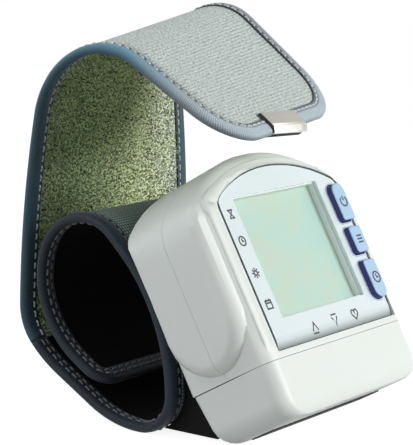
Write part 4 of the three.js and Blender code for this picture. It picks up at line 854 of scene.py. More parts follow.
def swell_at(strap, along, across):
    """How far the lining stands off over the air bladder, eased at the bladder's sides and ends."""
    side = strap.half - SWELL_MARGIN - abs(across)
    share = min(1, max(0, side / SWELL_RAMP))
    step, part = strap.station(along)
    first, last = SWOLLEN_STEPS
    lengthways = 1.0 if first <= step <= last else 0.0
    if step == first:
        lengthways = min(1, 2 * part)
    if step == last:
        lengthways = min(1, 2 * (1 - part))
    return SWELL * share * lengthways


def cloth_layer(name, strap, margin, spacing, across_count, depths, material):
    """A layer of cloth between two depths, closed round its edge."""
    rows, laid = [], []
    for along, half in strap.rows(margin, spacing):
        places = [half * (2 * i / across_count - 1) for i in range(across_count + 1)]
        outer = [(across, depths(along, across)[0]) for across in places]
        inner = [(across, depths(along, across)[1]) for across in reversed(places)]
        rows.append([strap.point(along, across, depth) for across, depth in outer + inner])
        laid.append([(along, across) for across, _ in outer + inner])
    return piece_from(name, rows, material, laid)


TAPE_STEP = 1.0
TAPE_MIDDLE = 2.0


def tape_section():
    """Half of the folded tape's section, from its border to its fold: how far in from the strap's
    edge, how far proud of the cloth, and how far round from the fold."""
    width, seam_at = sizes().tape_width / MM, sizes().seam_inset / MM
    on_cloth = [
        (width, 0.08), (width - 0.2, 0.28), (seam_at + 0.5, 0.32), (seam_at, 0.14),
        (seam_at - 0.5, 0.36), (2.0, 0.44), (0.9, 0.3), (0.25, 0.0)]
    return [(inward, proud, 1 + inward) for inward, proud in on_cloth] + [(-0.08, -0.5, 0.6)]


def binding(name, strap, material):
    """Tape folded over the strap's edge: rounded at the fold and pinched along its seams."""
    half = tape_section()
    section = [(inward, -proud, -lap) for inward, proud, lap in half]
    section += [(-0.16, STRAP_INNER / 2, 0.0)]
    section += [(inward, STRAP_INNER + proud, lap) for inward, proud, lap in reversed(half)]
    rows, laid, walked, before = [], [], 0.0, None
    for place in strap.rim(TAPE_STEP):
        edge = strap.point(*place(TAPE_MIDDLE), 0)
        walked += (edge - before).length if before else 0.0
        before = edge
        rows.append([strap.point(*place(inward), depth) for inward, depth, _ in section])
        laid.append([(walked, lap) for _, _, lap in section])
    return piece_from(name, rows, material, laid)


# One stitch: share of its length, how far off the cloth and how thick, in thread radii.
STITCH_SHAPE = (
    (0.0, -0.6, 0.5), (0.12, 0.35, 1.0), (0.5, 0.8, 1.0), (0.88, 0.35, 1.0), (1.0, -0.6, 0.5))
SEAM_STEP = 0.3
SEAM_START = 0.6


def seam(strap, inward, depth, lift):
    """Stitches round the strap's edge at a distance in from it, each as a centre line."""
    length, gap = sizes().stitch_length / MM, sizes().stitch_gap / MM
    radius = sizes().thread_radius / MM
    places = strap.rim(SEAM_STEP)
    path = [strap.point(*place(inward), depth) for place in places]
    off = [strap.point(*place(inward), depth + lift) - p for place, p in zip(places, path)]
    steps = [(b - a).length for a, b in zip(path, path[1:])]
    travelled = list(itertools.accumulate(steps, initial=0.0))
    stitches, start = [], SEAM_START
    while start + length < travelled[-1]:
        centre_line = []
        for share, rise, thin in STITCH_SHAPE:
            wanted = start + length * share
            index = bisect.bisect_left(travelled, wanted) - 1
            part = (wanted - travelled[index]) / steps[index]
            normal = off[index].normalized()
            along = (path[index + 1] - path[index]).normalized()
            place = path[index].lerp(path[index + 1], part) + normal * radius * rise
            centre_line.append((place, normal, along, radius * thin))
        stitches.append(centre_line)
        start += length + gap
    return stitches


THREAD_SIDES = 6
# How far a thread's twist pattern runs for a step along the stitch and for a side round it, in mm.
TWIST_ALONG, TWIST_ROUND = 0.4, 0.2


def thread_ring(mesh, place, normal, along, radius):
    """A ring of points round a thread."""
    side = along.cross(normal).normalized()
    ring = []
    for i in range(THREAD_SIDES):
        angle = 2 * math.pi * i / THREAD_SIDES
        offset = normal * math.cos(angle) + side * math.sin(angle)
        ring.append(mesh.verts.new((place + offset * radius) * MM))
    return ring


def stitching(name, seams, material):
    """All stitches of a strap as one piece of short closed threads."""
    mesh = bmesh.new()
    laid_layer = mesh.loops.layers.uv.new("laid")
    for centre_line in itertools.chain.from_iterable(seams):
        rings = [thread_ring(mesh, *spot) for spot in centre_line]
        for r in range(len(rings) - 1):
            for i in range(THREAD_SIDES):
                j = (i + 1) % THREAD_SIDES
                face = mesh.faces.new((rings[r][i], rings[r][j], rings[r + 1][j], rings[r + 1][i]))
                face.smooth = True
                ends = ((r, i), (r, i + 1), (r + 1, i + 1), (r + 1, i))
                for loop, (step, side) in zip(face.loops, ends):
                    loop[laid_layer].uv = (step * TWIST_ALONG * MM, side * TWIST_ROUND * MM)
        mesh.faces.new(rings[0])
        mesh.faces.new(rings[-1])
    return finish_mesh(name, mesh, material)


TUFT_START = 0.4
TUFT_END = 1.0
TUFT_CLEAR = 0.3
TUFT_LEAN = 1.6
TUFT_RADIUS = 0.22
TUFT_SUNK = 0.15
TUFT_FLATTENED = 0.6
TUFT_SHORTEST, TUFT_VARIES = 0.6, 0.7
TUFT_TONE_REACH = 40


def tuft(strap, depth, margin, index):
    """One tuft's root points, its tip and its tone's place, all from scattered numbers."""
    reach = strap.length - margin - TUFT_END
    along = TUFT_START + reach * scatter(index, 1)
    across = (strap.half_at(along, margin) - TUFT_CLEAR) * (2 * scatter(index, 2) - 1)
    root = strap.point(along, across, depth)
    out = (strap.point(along, across, depth + 1) - root).normalized()
    lean = Vector([scatter(index, salt) - 0.5 for salt in (3, 4, 5)]) * TUFT_LEAN
    way = (out + lean - out * lean.dot(out) * TUFT_FLATTENED).normalized()
    length = sizes().pile_length / MM
    tip = root + way * length * (TUFT_SHORTEST + TUFT_VARIES * scatter(index, 6))
    side = out.cross(way).normalized() * TUFT_RADIUS
    lap = side.cross(out).normalized() * TUFT_RADIUS
    base = [root - out * TUFT_SUNK + s for s in (side, -side * 0.5 + lap, -side * 0.5 - lap)]
    return base, tip, Vector((along + TUFT_TONE_REACH * scatter(index, 7), across))


def pile_tufts(name, strap, depth, margin, material):
    """Short tapered tufts on the strap's inner side, leaning at random, each of its own tone."""
    mesh = bmesh.new()
    laid_layer = mesh.loops.layers.uv.new("laid")
    for index in range(sizes().pile_tufts):
        root, tip, tone = tuft(strap, depth, margin, index)
        base = [mesh.verts.new(point * MM) for point in root]
        top = mesh.verts.new(tip * MM)
        faces = [mesh.faces.new((base[i], base[(i + 1) % 3], top)) for i in range(3)]
        faces.append(mesh.faces.new(base))
        for face in faces:
            for loop in face.loops:
                loop[laid_layer].uv = tone * MM
    return finish_mesh(name, mesh, material)


# Unit details

def arc(centre, radius, start, end, count=16):
    """Points on an arc in the panel's plane, in degrees."""
    points = []
    for i in range(count + 1):
        angle = math.radians(start + (end - start) * i / count)
        points.append((centre[0] + radius * math.cos(angle), centre[1] + radius * math.sin(angle)))
    return points


def edge_points(line, half):
    """Points to the left and right of a line, mitred at its corners and joined where it closes."""
    closed = math.dist(line[0], line[-1]) < 1e-6
    pairs = []
    for i, point in enumerate(line):
        before = line[i - 1] if i else (line[-2] if closed else None)
        after = line[i + 1] if i < len(line) - 1 else (line[1] if closed else None)
        into = (Vector(point) - Vector(before)).normalized() if before else None
        away = (Vector(after) - Vector(point)).normalized() if after else None
        into, away = into or away, away or into
        way = (into + away).normalized()
        reach = half / max(0.5, way.dot(into))
        side = Vector((-way.y, way.x)) * reach
        pairs.append((Vector(point) + side, Vector(point) - side))
    return pairs


def strokes(name, lines, foot, material):
    """Printed lines on a face of the unit: runs of (u, v) points, and foot gives the face's w."""
    mesh = bmesh.new()
    half = sizes().icon_stroke / MM / 2
    for line in lines:
        rails = []
        for pair in edge_points(line, half):
            rails.append([
                [mesh.verts.new(on_unit(u, v, foot(u) + lift)) for lift in (-INK_SUNK, INK_PROUD)]
                for u, v in pair])
        for (left, right), (left_on, right_on) in zip(rails, rails[1:]):
            mesh.faces.new((left[1], left_on[1], right_on[1], right[1]))
            mesh.faces.new((left[0], left_on[0], right_on[0], right[0]))
            mesh.faces.new((left[0], left_on[0], left_on[1], left[1]))
            mesh.faces.new((right[0], right_on[0], right_on[1], right[1]))
        for left, right in (rails[0], rails[-1]):
            mesh.faces.new((left[0], left[1], right[1], right[0]))
    return finish_mesh(name, mesh, material)


def moved(lines, u, v, size):
    """An icon's lines brought to its place and size."""
    return [[(u + a * size, v + b * size) for a, b in line] for line in lines]


INK_SUNK = 0.05
INK_PROUD = 0.05
CLOCK = [arc((0, 0), 1, 0, 360, 24), [(0.6, 0), (0, 0), (-0.15, -0.5)]]
POWER = [arc((0, 0), 1, 40, 320, 20), [(1.15, 0), (0.15, 0)]]
BARS = [[(-0.8, 0.9), (-0.8, -0.9)], [(-0.05, 0.9), (-0.05, -0.9)], [(0.7, 0.9), (0.7, -0.9)]]
CALENDAR = [
    [(-0.9, 0), (-0.9, -0.9), (0.8, -0.9), (0.8, 0.9), (-0.9, 0.9), (-0.9, 0)],
    [(0.3, 0.9), (0.3, -0.9)], [(1.15, 0.45), (0.6, 0.45)], [(1.15, -0.45), (0.6, -0.45)]]
SUN = [arc((0, 0), 0.5, 0, 360, 16)] + [
    [(0.75 * math.cos(a), 0.75 * math.sin(a)), (1.15 * math.cos(a), 1.15 * math.sin(a))]
    for a in [math.pi / 4 * i for i in range(8)]]
GLASS = [[(1, 0), (1, 0.75), (-1, -0.75), (-1, 0.75), (1, -0.75), (1, 0)]]
HEART = [[
    (-1, 0), (0, 0.95), *arc((0.42, 0.5), 0.5, 100, -60, 8), (0.2, 0),
    *arc((0.42, -0.5), 0.5, 60, -100, 8), (0, -0.95), (-1, 0)]]
PEAK = [[(-0.8, 0.9), (0.9, 0), (-0.8, -0.9)], [(-1.3, 0.9), (-1.3, -0.9)]]
DIP = [[(0.8, 0.9), (-0.9, 0), (0.8, -0.9)], [(1.3, 0.9), (1.3, -0.9)]]

PANEL_FOOT = -25.4
PANEL_ROLL_START = -22.2
PANEL_ROLL_DROP = 0.62
PANEL_ROLL_CUTS = 6
PANEL_FACE_DEPTH = 0.1


def panel_drop(u):
    """How far the panel's face rolls down towards its lower edge."""
    share = max(0.0, (PANEL_ROLL_START - u) / (PANEL_ROLL_START - PANEL_FOOT))
    return PANEL_ROLL_DROP * min(1.0, share) ** 2


def roll_panel(mesh):
    """Cuts the panel across above its lower edge and lowers its face there in a smooth curve."""
    for i in range(PANEL_ROLL_CUTS):
        u = PANEL_ROLL_START + (PANEL_FOOT - PANEL_ROLL_START) * i / PANEL_ROLL_CUTS
        everything = mesh.verts[:] + mesh.edges[:] + mesh.faces[:]
        bmesh.ops.bisect_plane(mesh, geom=everything, plane_co=on_unit(u, 0, 0), plane_no=UP)
    for vert in mesh.verts:
        place = vert.co / MM - PANEL_CENTRE
        if place.dot(OUT) > -PANEL_FACE_DEPTH:
            vert.co -= OUT * panel_drop(place.dot(UP)) * MM


# Each button's span up the display and the corner radii at its low and high end, in mm.
BUTTONS = {
    "time_button": ((-19.8, -8.5), 2.5, 0.9),
    "memory_button": ((-6.0, 1.8), 0.9, 0.9),
    "power_button": ((4.0, 15.2), 0.9, 2.5),
}
BUTTON_CENTRE = -25.8
BUTTON_HALF = 2.8
BUTTON_TOP = 2.0
CAP_FOOT = 1.72
# Reach and height of the ring of painted reflection round each button.
REFLECTION_RING_REACH = 0.75
REFLECTION_RING_HEIGHT = 0.12
LEAST_RADIUS = 0.2


def button_ring(span, low_radius, high_radius, drawn, w):
    """Outline of a button, drawn in all round, at one height."""
    low, high = span[0] + drawn, span[1] - drawn
    near, far = BUTTON_CENTRE + BUTTON_HALF - drawn, BUTTON_CENTRE - BUTTON_HALF + drawn
    r, s = max(LEAST_RADIUS, low_radius - drawn), max(LEAST_RADIUS, high_radius - drawn)
    corners = [
        arc((low + r, far + r), r, 180, 270, 8), arc((high - s, far + s), s, 270, 360, 8),
        arc((high - s, near - s), s, 0, 90, 8), arc((low + r, near - r), r, 90, 180, 8)]
    return [on_unit(u, v, w) / MM for corner in corners for u, v in corner]


def stacked_rings(name, outline, heights, finish, around=False):
    """Rings of one outline at (inset, height) steps, closed by end faces or into a frame."""
    mesh = bmesh.new()
    rings = [
        [mesh.verts.new(p * MM) for p in button_ring(*outline, drawn, w)] for drawn, w in heights]
    skin(mesh, rings, around, smooth=True)
    return finish_mesh(name, mesh, material_of(finish))


def button_cap(name, outline):
    """A button's pale cap with a rolled edge and a faintly dished top."""
    return stacked_rings(name, outline, [
        (0.1, CAP_FOOT - 0.4), (0.0, CAP_FOOT), (0.03, BUTTON_TOP - 0.2), (0.12, BUTTON_TOP - 0.1),
        (0.3, BUTTON_TOP - 0.03), (0.55, BUTTON_TOP), (1.1, BUTTON_TOP - 0.04)], "button")


def button_side(name, outline):
    """The dark body under a cap, with its flange under the case's floor."""
    return stacked_rings(name, outline, [
        (-0.35, -2.9), (-0.35, -2.2), (0.02, -2.2), (0.02, CAP_FOOT)], "button_side")


def button_painted_reflection_ring(name, outline):
    """A pale grey-blue ring round a button's opening: painted reflection of the button's dark side
    in the glossy panel.
    """
    return stacked_rings(name, outline, [
        (-0.3, -0.6), (-0.3, REFLECTION_RING_HEIGHT), (-0.5, REFLECTION_RING_HEIGHT + 0.06),
        (0.1 - REFLECTION_RING_REACH, REFLECTION_RING_HEIGHT * 0.7), (-REFLECTION_RING_REACH, -0.02), (-REFLECTION_RING_REACH + 0.3, -0.6)],
        "button_painted_reflection_ring", around=True)


# Clip at the strap's end

CLIP_SHIFT = -4.0
CLIP_HALF_WIDTH = 8.9
CLIP_BACK = 5.2
CLIP_TURN = 9
CLIP_SHEET = 0.4
# Thickness and reach of the black sheet of painted shadow under the clip.
SHADOW_PAD_SHEET = 0.5
SHADOW_PAD_NEAR_REACH = 0.8
SHADOW_PAD_FAR_DRAW = 0.3
# How far a sheet's cut edges are thinned, as a share of its thickness, and over what width in mm.
CUT_THINNED = 0.25
CUT_WIDTH = 0.12


def sheet_rows(strap, centre_line, thickness, near, far):
    """Rows across the strap for a bent sheet, a little turned on it; its line is (back, depth)."""
    turn = math.radians(CLIP_TURN)
    rails = edge_points(centre_line, thickness / 2)
    rows = []
    for across, thinned in (
            (near, CUT_THINNED), (near + CUT_WIDTH, 0.0),
            (far - CUT_WIDTH, 0.0), (far, CUT_THINNED)):
        left = [a.lerp(b, thinned) for a, b in rails]
        right = [b.lerp(a, thinned) for a, b in rails]
        row = []
        for back, depth in left + right[::-1]:
            along = strap.length - back * math.cos(turn) + across * math.sin(turn)
            sideways = CLIP_SHIFT + across * math.cos(turn) + back * math.sin(turn)
            row.append(strap.point(along, sideways, depth))
        rows.append(row)
    return rows


def clip_pieces(strap):
    """A folded metal clip: a matt plate on top, a turned-down lip in brighter metal as a painted
    highlight, and a black sheet under it as painted shadow.
    """
    near, far = -CLIP_HALF_WIDTH, CLIP_HALF_WIDTH
    plate_line = [(CLIP_BACK, -0.95), (3.0, -1.05), (0.6, -1.02), (-0.3, -0.98)]
    lip_line = [(-0.3, -0.98), (-0.6, -0.9), (-1.0, -0.6), (-1.9, 0.35), (-1.8, 0.6)]
    shadow_pad_line = [
        (CLIP_BACK + 0.2, -0.5), (-0.3, -0.5), (-1.3, 0.4), (-1.1, 1.0), (-0.5, 2.5),
        (CLIP_BACK, 2.7)]
    shadow_pad_near, shadow_pad_far = near - SHADOW_PAD_NEAR_REACH, far - SHADOW_PAD_FAR_DRAW
    sheets = (
        ("clip_plate", plate_line, CLIP_SHEET, near, far, "clip"),
        ("clip_lip", lip_line, CLIP_SHEET, near, far, "clip_lip"),
        ("clip_pad", shadow_pad_line, SHADOW_PAD_SHEET, shadow_pad_near, shadow_pad_far, "black_rubber"))
    return [
        piece_from(name, sheet_rows(strap, *sheet), material_of(finish))
        for name, *sheet, finish in sheets]


# Operators

class MONITOR_OT_studio(bpy.types.Operator):
    """Adds the pale floor, the soft lamps, the white surroundings and the camera"""
    bl_idname = "monitor.studio"
    bl_label = "Studio"

    def execute(self, context):
        make_floor()
        make_surroundings(context.scene)
        for name, settings in LAMPS.items():
            make_lamp(name, *settings)
        make_camera(context.scene)
        context.scene.view_settings.view_transform = "Standard"
        return {"FINISHED"}


class MONITOR_OT_finishes(bpy.types.Operator):
    """Gives each carried-over solid the finish of the real part"""
    bl_idname = "monitor.finishes"
    bl_label = "Finishes of the solids"

    def execute(self, context):
        make_materials()
        for key, names in FINISH_OF_NODE.items():
            for name in names:
                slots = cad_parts[name].data.materials
                slots.clear()
                slots.append(material_of(key))
        return {"FINISHED"}


# Parting faces: the axis that each faces, its place before and after in mm, and the depth that
# only vertices in front of are moved, so that the side's dark line stays.
FRONT_ONLY, ALL_ROUND = -6.0, -99.0
PARTING_REACH = 0.02
PARTINGS = {
    "front_cover": ((OUT, -13.15, -13.26, ALL_ROUND), (UP, -27.4, -27.5, FRONT_ONLY)),
    "rear_cover": ((OUT, -13.45, -13.34, ALL_ROUND),),
    "battery_cover": ((UP, -27.7, -27.62, FRONT_ONLY),),
}


def closed_parting(node):
    """Brings a shell's parting faces nearly up to the next shell's."""
    def reshape(mesh):
        for vert in mesh.verts:
            place = vert.co / MM - PANEL_CENTRE
            for axis, before, after, behind in PARTINGS[node]:
                if place.dot(OUT) > behind and abs(place.dot(axis) - before) < PARTING_REACH:
                    vert.co += axis * (after - before) * MM
    return reshape


# Place and sizes of the black strip of painted shade under the end cover.
SHADE_STRIP_SPAN = (-24.0, 28.0)
SHADE_STRIP_DEPTH = (-19.0, -11.5)
SHADE_STRIP_FACE = -43.4
SHADE_STRIP_SUNK = 0.4
SHADE_STRIP_PROUD = 0.35
SHADE_STRIP_EDGE = 0.15


def cover_painted_shade_strip(material):
    """A thin black strip under the end cover: painted shade that darkens the cover's underside."""
    mesh = bmesh.new()
    (far, near), (back, front) = SHADE_STRIP_SPAN, SHADE_STRIP_DEPTH
    rings = []
    for drawn, u in (
            (0.0, SHADE_STRIP_FACE + SHADE_STRIP_SUNK), (0.0, SHADE_STRIP_FACE - SHADE_STRIP_EDGE),
            (SHADE_STRIP_EDGE, SHADE_STRIP_FACE - SHADE_STRIP_PROUD)):
        corners = (
            (far + drawn, back + drawn), (near - drawn, back + drawn),
            (near - drawn, front - drawn), (far + drawn, front - drawn))
        rings.append([mesh.verts.new(on_unit(u, v, w)) for v, w in corners])
    skin(mesh, rings)
    return finish_mesh("battery_cover_painted_shade_strip", mesh, material)


# Sizes of the dark strip of painted shadow round the panel.
SHADOW_LINE_WIDTH = 0.24
SHADOW_LINE_LAP = 0.08
SHADOW_LINE_NEAR_LAP = 2.0
SHADOW_LINE_EASE = 12
SHADOW_LINE_TOP = 0.03
SHADOW_LINE_DEEP = 0.6
SHADOW_LINE_STEP = 1.4
PANEL_HALF = 28.4
PANEL_FACE_REACH = 0.05


def turns_left(a, b, c):
    """Above zero where the way from a to b to c turns left."""
    return (b[0] - a[0]) * (c[1] - a[1]) - (b[1] - a[1]) * (c[0] - a[0])


def panel_outline():
    """Points round the display panel's edge in the unit's axes; the outline has no hollow."""
    points = set()
    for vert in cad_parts["display_panel"].data.vertices:
        place = vert.co / MM - PANEL_CENTRE
        if abs(place.dot(OUT)) < PANEL_FACE_REACH:
            points.add((round(place.dot(UP), 2), round(place.dot(ACROSS), 2)))
    hull = []
    for run_of in (sorted(points), sorted(points, reverse=True)):
        half = []
        for point in run_of:
            while len(half) > 1 and turns_left(half[-2], half[-1], point) <= 0:
                half.pop()
            half.append(point)
        hull += half[:-1]
    return hull


def evenly_spaced(line, spacing):
    """Points at even distances along a run of points."""
    points, left = [Vector(line[0])], spacing
    for a, b in zip(line, line[1:]):
        a, b = Vector(a), Vector(b)
        length = (b - a).length
        while length > 0 and left <= length:
            points.append(a.lerp(b, left / length))
            left += spacing
        left -= length
    return points


def panel_painted_shadow_line(material):
    """A dark strip that shows as a line round the panel: painted shadow of the gap between the
    panel and the case; on the near side, where the case's rim hides the gap, it laps further over
    the panel."""
    outline = panel_outline()
    line = evenly_spaced(outline + [outline[0]], SHADOW_LINE_STEP)
    line[-1] = line[0]
    mesh = bmesh.new()
    rings = []
    for (u, v), sides in zip(line[:-1], edge_points(line, SHADOW_LINE_WIDTH)):
        edge, far = Vector((u, v)), max(sides, key=lambda point: math.hypot(*point))
        near = edge - (far - edge).normalized() * SHADOW_LINE_LAP
        near.y -= SHADOW_LINE_NEAR_LAP * max(0.0, v / PANEL_HALF) ** SHADOW_LINE_EASE
        top = SHADOW_LINE_TOP - panel_drop(u)
        deep = top - SHADOW_LINE_DEEP
        corners = ((near, deep), (near, top), (far, top), (far, deep))
        rings.append([mesh.verts.new(on_unit(*place, w)) for place, w in corners])
    skin(mesh, rings, around=True)
    return finish_mesh("panel_painted_shadow_line", mesh, material)


RIM_TOP_SHARE = 1.1
RIM_NEAR_SHARE = 1.275
RIM_FAR_SHARE = 1.09
RIM_CORNER_DRAW = 0.135
RIM_CORNER = 13.0
RIM_FOOT = -27.0
RIM_TOP_WIDTH = 1.9
RIM_NEAR_WIDTH = 6.4
RIM_FADE = 5.0
RIM_LEAST = 0.3
RIM_STEP = 1.0
RAY_START = 10
RIM_SUNK = 0.3
# The rim's section: a distance in from its foot in mm, plus a share of its width, and its height.
RIM_PROFILE = [
    (-0.45, 0.0, -RIM_SUNK), (-0.3, 0.0, 0.0), (-0.14, 0.0, 0.2), (0.1, 0.0, 0.29),
    (0.4, 0.05, 0.32), (0.3, 0.4, 0.25), (0.1, 0.75, 0.09), (0.0, 1.0, -0.1), (0.1, 1.0, -0.35)]


def rim_line():
    """The outer foot of the cushioned rim: up the near side, over the arch, down the far side."""
    line = []
    for u, v in panel_outline():
        drawn = RIM_CORNER_DRAW * min(1.0, max(0.0, u / RIM_CORNER))
        side = RIM_NEAR_SHARE - drawn if v > 0 else RIM_FAR_SHARE
        line.append((u * RIM_TOP_SHARE if u > 0 else u, v * side))
    line = [point for point in line if point[0] > PANEL_FOOT + 1]
    line.sort(key=lambda point: -math.atan2(point[1], point[0] - PANEL_FOOT))
    return [(RIM_FOOT, line[0][1]), *line, (RIM_FOOT, line[-1][1])]


def surface_under(shell):
    """Finds where a straight line into the display meets the shell, and the way out of it there."""
    faces = [face.vertices for face in shell.data.polygons]
    tree = BVHTree.FromPolygons([vert.co for vert in shell.data.vertices], faces)
    return lambda spot: tree.ray_cast(on_unit(spot.x, spot.y, RAY_START), -OUT)[:2]


def rim_cushion(shell, material):
    """A soft cushioned rim on the front shell: a small step outside, falling to the panel."""
    meet = surface_under(shell)
    line = evenly_spaced(rim_line(), RIM_STEP)
    rows = []
    for i, place in enumerate(line):
        way = (line[min(i + 1, len(line) - 1)] - line[max(i - 1, 0)]).normalized()
        inward = Vector((way.y, -way.x))
        near_share = min(1.0, max(0.0, place.y / PANEL_HALF)) ** 3
        width = RIM_TOP_WIDTH + (RIM_NEAR_WIDTH - RIM_TOP_WIDTH) * near_share
        grown = min(1.0, (min(i, len(line) - 1 - i) + RIM_LEAST) / RIM_FADE)
        spots = [meet(place + inward * (reach + share * width)) for reach, share, _ in RIM_PROFILE]
        if all(hit is not None for hit, _ in spots):
            rows.append([
                hit / MM + normal * (grown * (proud + RIM_SUNK) - RIM_SUNK)
                for (hit, normal), (_, _, proud) in zip(spots, RIM_PROFILE)])
    return piece_from("front_rim_cushion", rows, material)


# The frame's section: half its height and half its width, and how deep it lies.
REVEAL = [
    ((17.2, 19.35), -1.04), ((17.35, 19.5), -3.0), ((18.2, 20.3), -3.04), ((18.2, 20.3), -1.04)]


def window_reveal(material):
    """The pale moulded frame between the window and the display glass."""
    mesh = bmesh.new()
    rings = []
    for (half_u, half_v), w in REVEAL:
        corners = [(half_u, half_v), (half_u, -half_v), (-half_u, -half_v), (-half_u, half_v)]
        rings.append([mesh.verts.new(on_unit(u, v, w)) for u, v in corners])
    skin(mesh, rings, around=True)
    return finish_mesh("window_reveal", mesh, material)


SHELL_BODIES = {"front_cover": MONITOR, "rear_cover": MONITOR, "battery_cover": "battery_cover"}


class MONITOR_OT_shells(bpy.types.Operator):
    """Rolls the edges of the case shells and cushions the front one's rim"""
    bl_idname = "monitor.shells"
    bl_label = "Case shells"

    def execute(self, context):
        finish = material_of("shell")
        for node, body in SHELL_BODIES.items():
            shell = softened_copy(node + "_shell", node, finish, closed_parting(node))
            settle(shell, body)
            if node == "front_cover":
                settle(rim_cushion(shell, finish), MONITOR)
        settle(cover_painted_shade_strip(material_of("black_rubber")), "battery_cover")
        return {"FINISHED"}


class MONITOR_OT_panel(bpy.types.Operator):
    """Rolls the display panel's lower edge, and adds a dark line of painted shadow round it and the
    frame in its window
    """
    bl_idname = "monitor.panel"
    bl_label = "Display panel"

    def execute(self, context):
        panel = softened_copy(
            "display_panel_sheet", "display_panel", material_of("panel"), roll_panel)
        settle(panel, MONITOR)
        settle(panel_painted_shadow_line(material_of("painted_shadow_line")), MONITOR)
        settle(window_reveal(material_of("reveal")), MONITOR)
        return {"FINISHED"}


class MONITOR_OT_buttons(bpy.types.Operator):
    """Builds the three pale button caps with their dark sides and rings of painted reflection round
    them
    """
    bl_idname = "monitor.buttons"
    bl_label = "Buttons"

    def execute(self, context):
        for name, outline in BUTTONS.items():
            cap = button_cap(name + "_cap", outline)
            settle(cap, name)
            settle(button_side(name + "_side", outline), name)
            settle(button_painted_reflection_ring(name + "_painted_reflection_ring", outline), MONITOR)
            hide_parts(name)
        return {"FINISHED"}


# Icons with their place on the unit and their size in mm.
PANEL_MARKS = (
    (GLASS, 13, 23, 1.15), (CLOCK, 5.2, 23, 1.3), (SUN, -4, 23.1, 1.3), (CALENDAR, -13, 23.1, 1.3),
    (PEAK, -22.2, 8.2, 1.35), (DIP, -22.2, -1.8, 1.35), (HEART, -22.1, -11.6, 1.45))
BUTTON_MARKS = {
    "power_button": (POWER, 9.5, BUTTON_CENTRE - 0.2, 1.45),
    "memory_button": (BARS, -2.1, BUTTON_CENTRE - 0.2, 1.3),
    "time_button": (CLOCK, -14, BUTTON_CENTRE - 0.2, 1.55)}
MARK_DISH = 0.03


class MONITOR_OT_icons(bpy.types.Operator):
    """Prints generic icons on the panel and the buttons"""
    bl_idname = "monitor.icons"
    bl_label = "Printed icons"

    def execute(self, context):
        ink = material_of("ink")
        lines = [line for mark in PANEL_MARKS for line in moved(*mark)]
        settle(strokes("panel_icons", lines, lambda u: -panel_drop(u), ink), MONITOR)
        for button, mark in BUTTON_MARKS.items():
            printed = strokes(button + "_icon", moved(*mark), lambda _: BUTTON_TOP - MARK_DISH, ink)
            settle(printed, button)
        return {"FINISHED"}


class MONITOR_OT_bindings(bpy.types.Operator):
    """Folds the woven tape over the edges of the cuff and the free strap"""
    bl_idname = "monitor.bindings"
    bl_label = "Edge tape"

    def execute(self, context):
        loop_tape = binding("cuff_edge_binding", loop_strap(), material_of("cuff_tape"))
        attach(loop_tape, MONITOR)
        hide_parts("cuff_edge_tape")
        tail = tail_strap()
        tail_tape = binding("strap_edge_binding", tail, material_of("strap_tape"))
        over_hinge(tail, tail_tape)
        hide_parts("strap_edge_tape")
        return {"FINISHED"}


class MONITOR_OT_cuff(bpy.types.Operator):
    """Lays the cuff's outer cloth and its swollen lining round the loop, tucked under the tape"""
    bl_idname = "monitor.cuff"
    bl_label = "Cuff cloth"

    def execute(self, context):
        strap = loop_strap()
        margin = sizes().tape_width / MM - TUCK
        cover = cloth_layer(
            "cuff_cover_cloth", strap, margin, CLOTH_STEP, 12, lambda a, b: (0, CLOTH),
            material_of("cuff"))

        def lining_depths(along, across):
            top = CLOTH + LAYER_GAP + swell_at(strap, along, across)
            return top, top + CLOTH

        lining = cloth_layer(
            "cuff_lining_cloth", strap, margin, CLOTH_STEP, 24, lining_depths,
            material_of("lining"))
        for piece, node in ((cover, "cuff_outer_cover"), (lining, "cuff_lining")):
            settle(piece, MONITOR)
            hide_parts(node)
        return {"FINISHED"}


class MONITOR_OT_free_strap(bpy.types.Operator):
    """Lays the free strap's ribbed outer cloth and its inner pile"""
    bl_idname = "monitor.free_strap"
    bl_label = "Free strap"

    def execute(self, context):
        strap = tail_strap()
        face_margin = sizes().tape_width / MM + FACE_CLEAR
        pile_margin = sizes().tape_width / MM - TUCK
        pitch = sizes().rib_pitch / MM

        def ribbed(along, across):
            rib = 0.5 - 0.5 * math.cos(2 * math.pi * along / pitch)
            return RIB_DEPTH * (1 - rib), CLOTH

        face = cloth_layer(
            "strap_ribbed_cloth", strap, face_margin, pitch / 5, 14, ribbed, material_of("ribbed"))
        foot, top = CLOTH + LAYER_GAP, CLOTH + LAYER_GAP + PILE_BACKING
        pile = cloth_layer(
            "strap_pile_cloth", strap, pile_margin, CLOTH_STEP, 14, lambda a, b: (foot, top),
            material_of("pile"))
        tufts = pile_tufts("strap_pile_tufts", strap, top, pile_margin, material_of("pile"))
        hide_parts("strap_face")
        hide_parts("strap_pile")
        slots = {face: "strap_cloth", pile: "strap_fleece", tufts: "strap_fleece"}
        for piece, slot in slots.items():
            over_hinge(strap, piece)
        return {"FINISHED"}


TUCK = 0.5
FACE_CLEAR = 0.2
RIB_DEPTH = 0.14
PILE_BACKING = 0.7
CLOTH_STEP = 1.5
STRAP_ROOT = 0.2
HINGE_REACH = 9.0


def over_hinge(strap, piece):
    """Bakes a strap piece's placement into its mesh; the points near the hinge that it works out
    are not used.
    """
    start = strap.point(STRAP_ROOT, 0, 1) * MM
    end = strap.point(HINGE_REACH, 0, 1) * MM
    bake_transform(piece)


SEAM_LIFT = 0.2
INNER_SEAM_INSET = 1.9
INNER_SEAM_LIFT = 0.46


def edge_seams(strap):
    """The seam that holds the tape, on the strap's outer face and on its wrist side."""
    inset = sizes().seam_inset / MM
    return [seam(strap, inset, -SEAM_LIFT, -1), seam(strap, inset, STRAP_INNER + SEAM_LIFT, 1)]


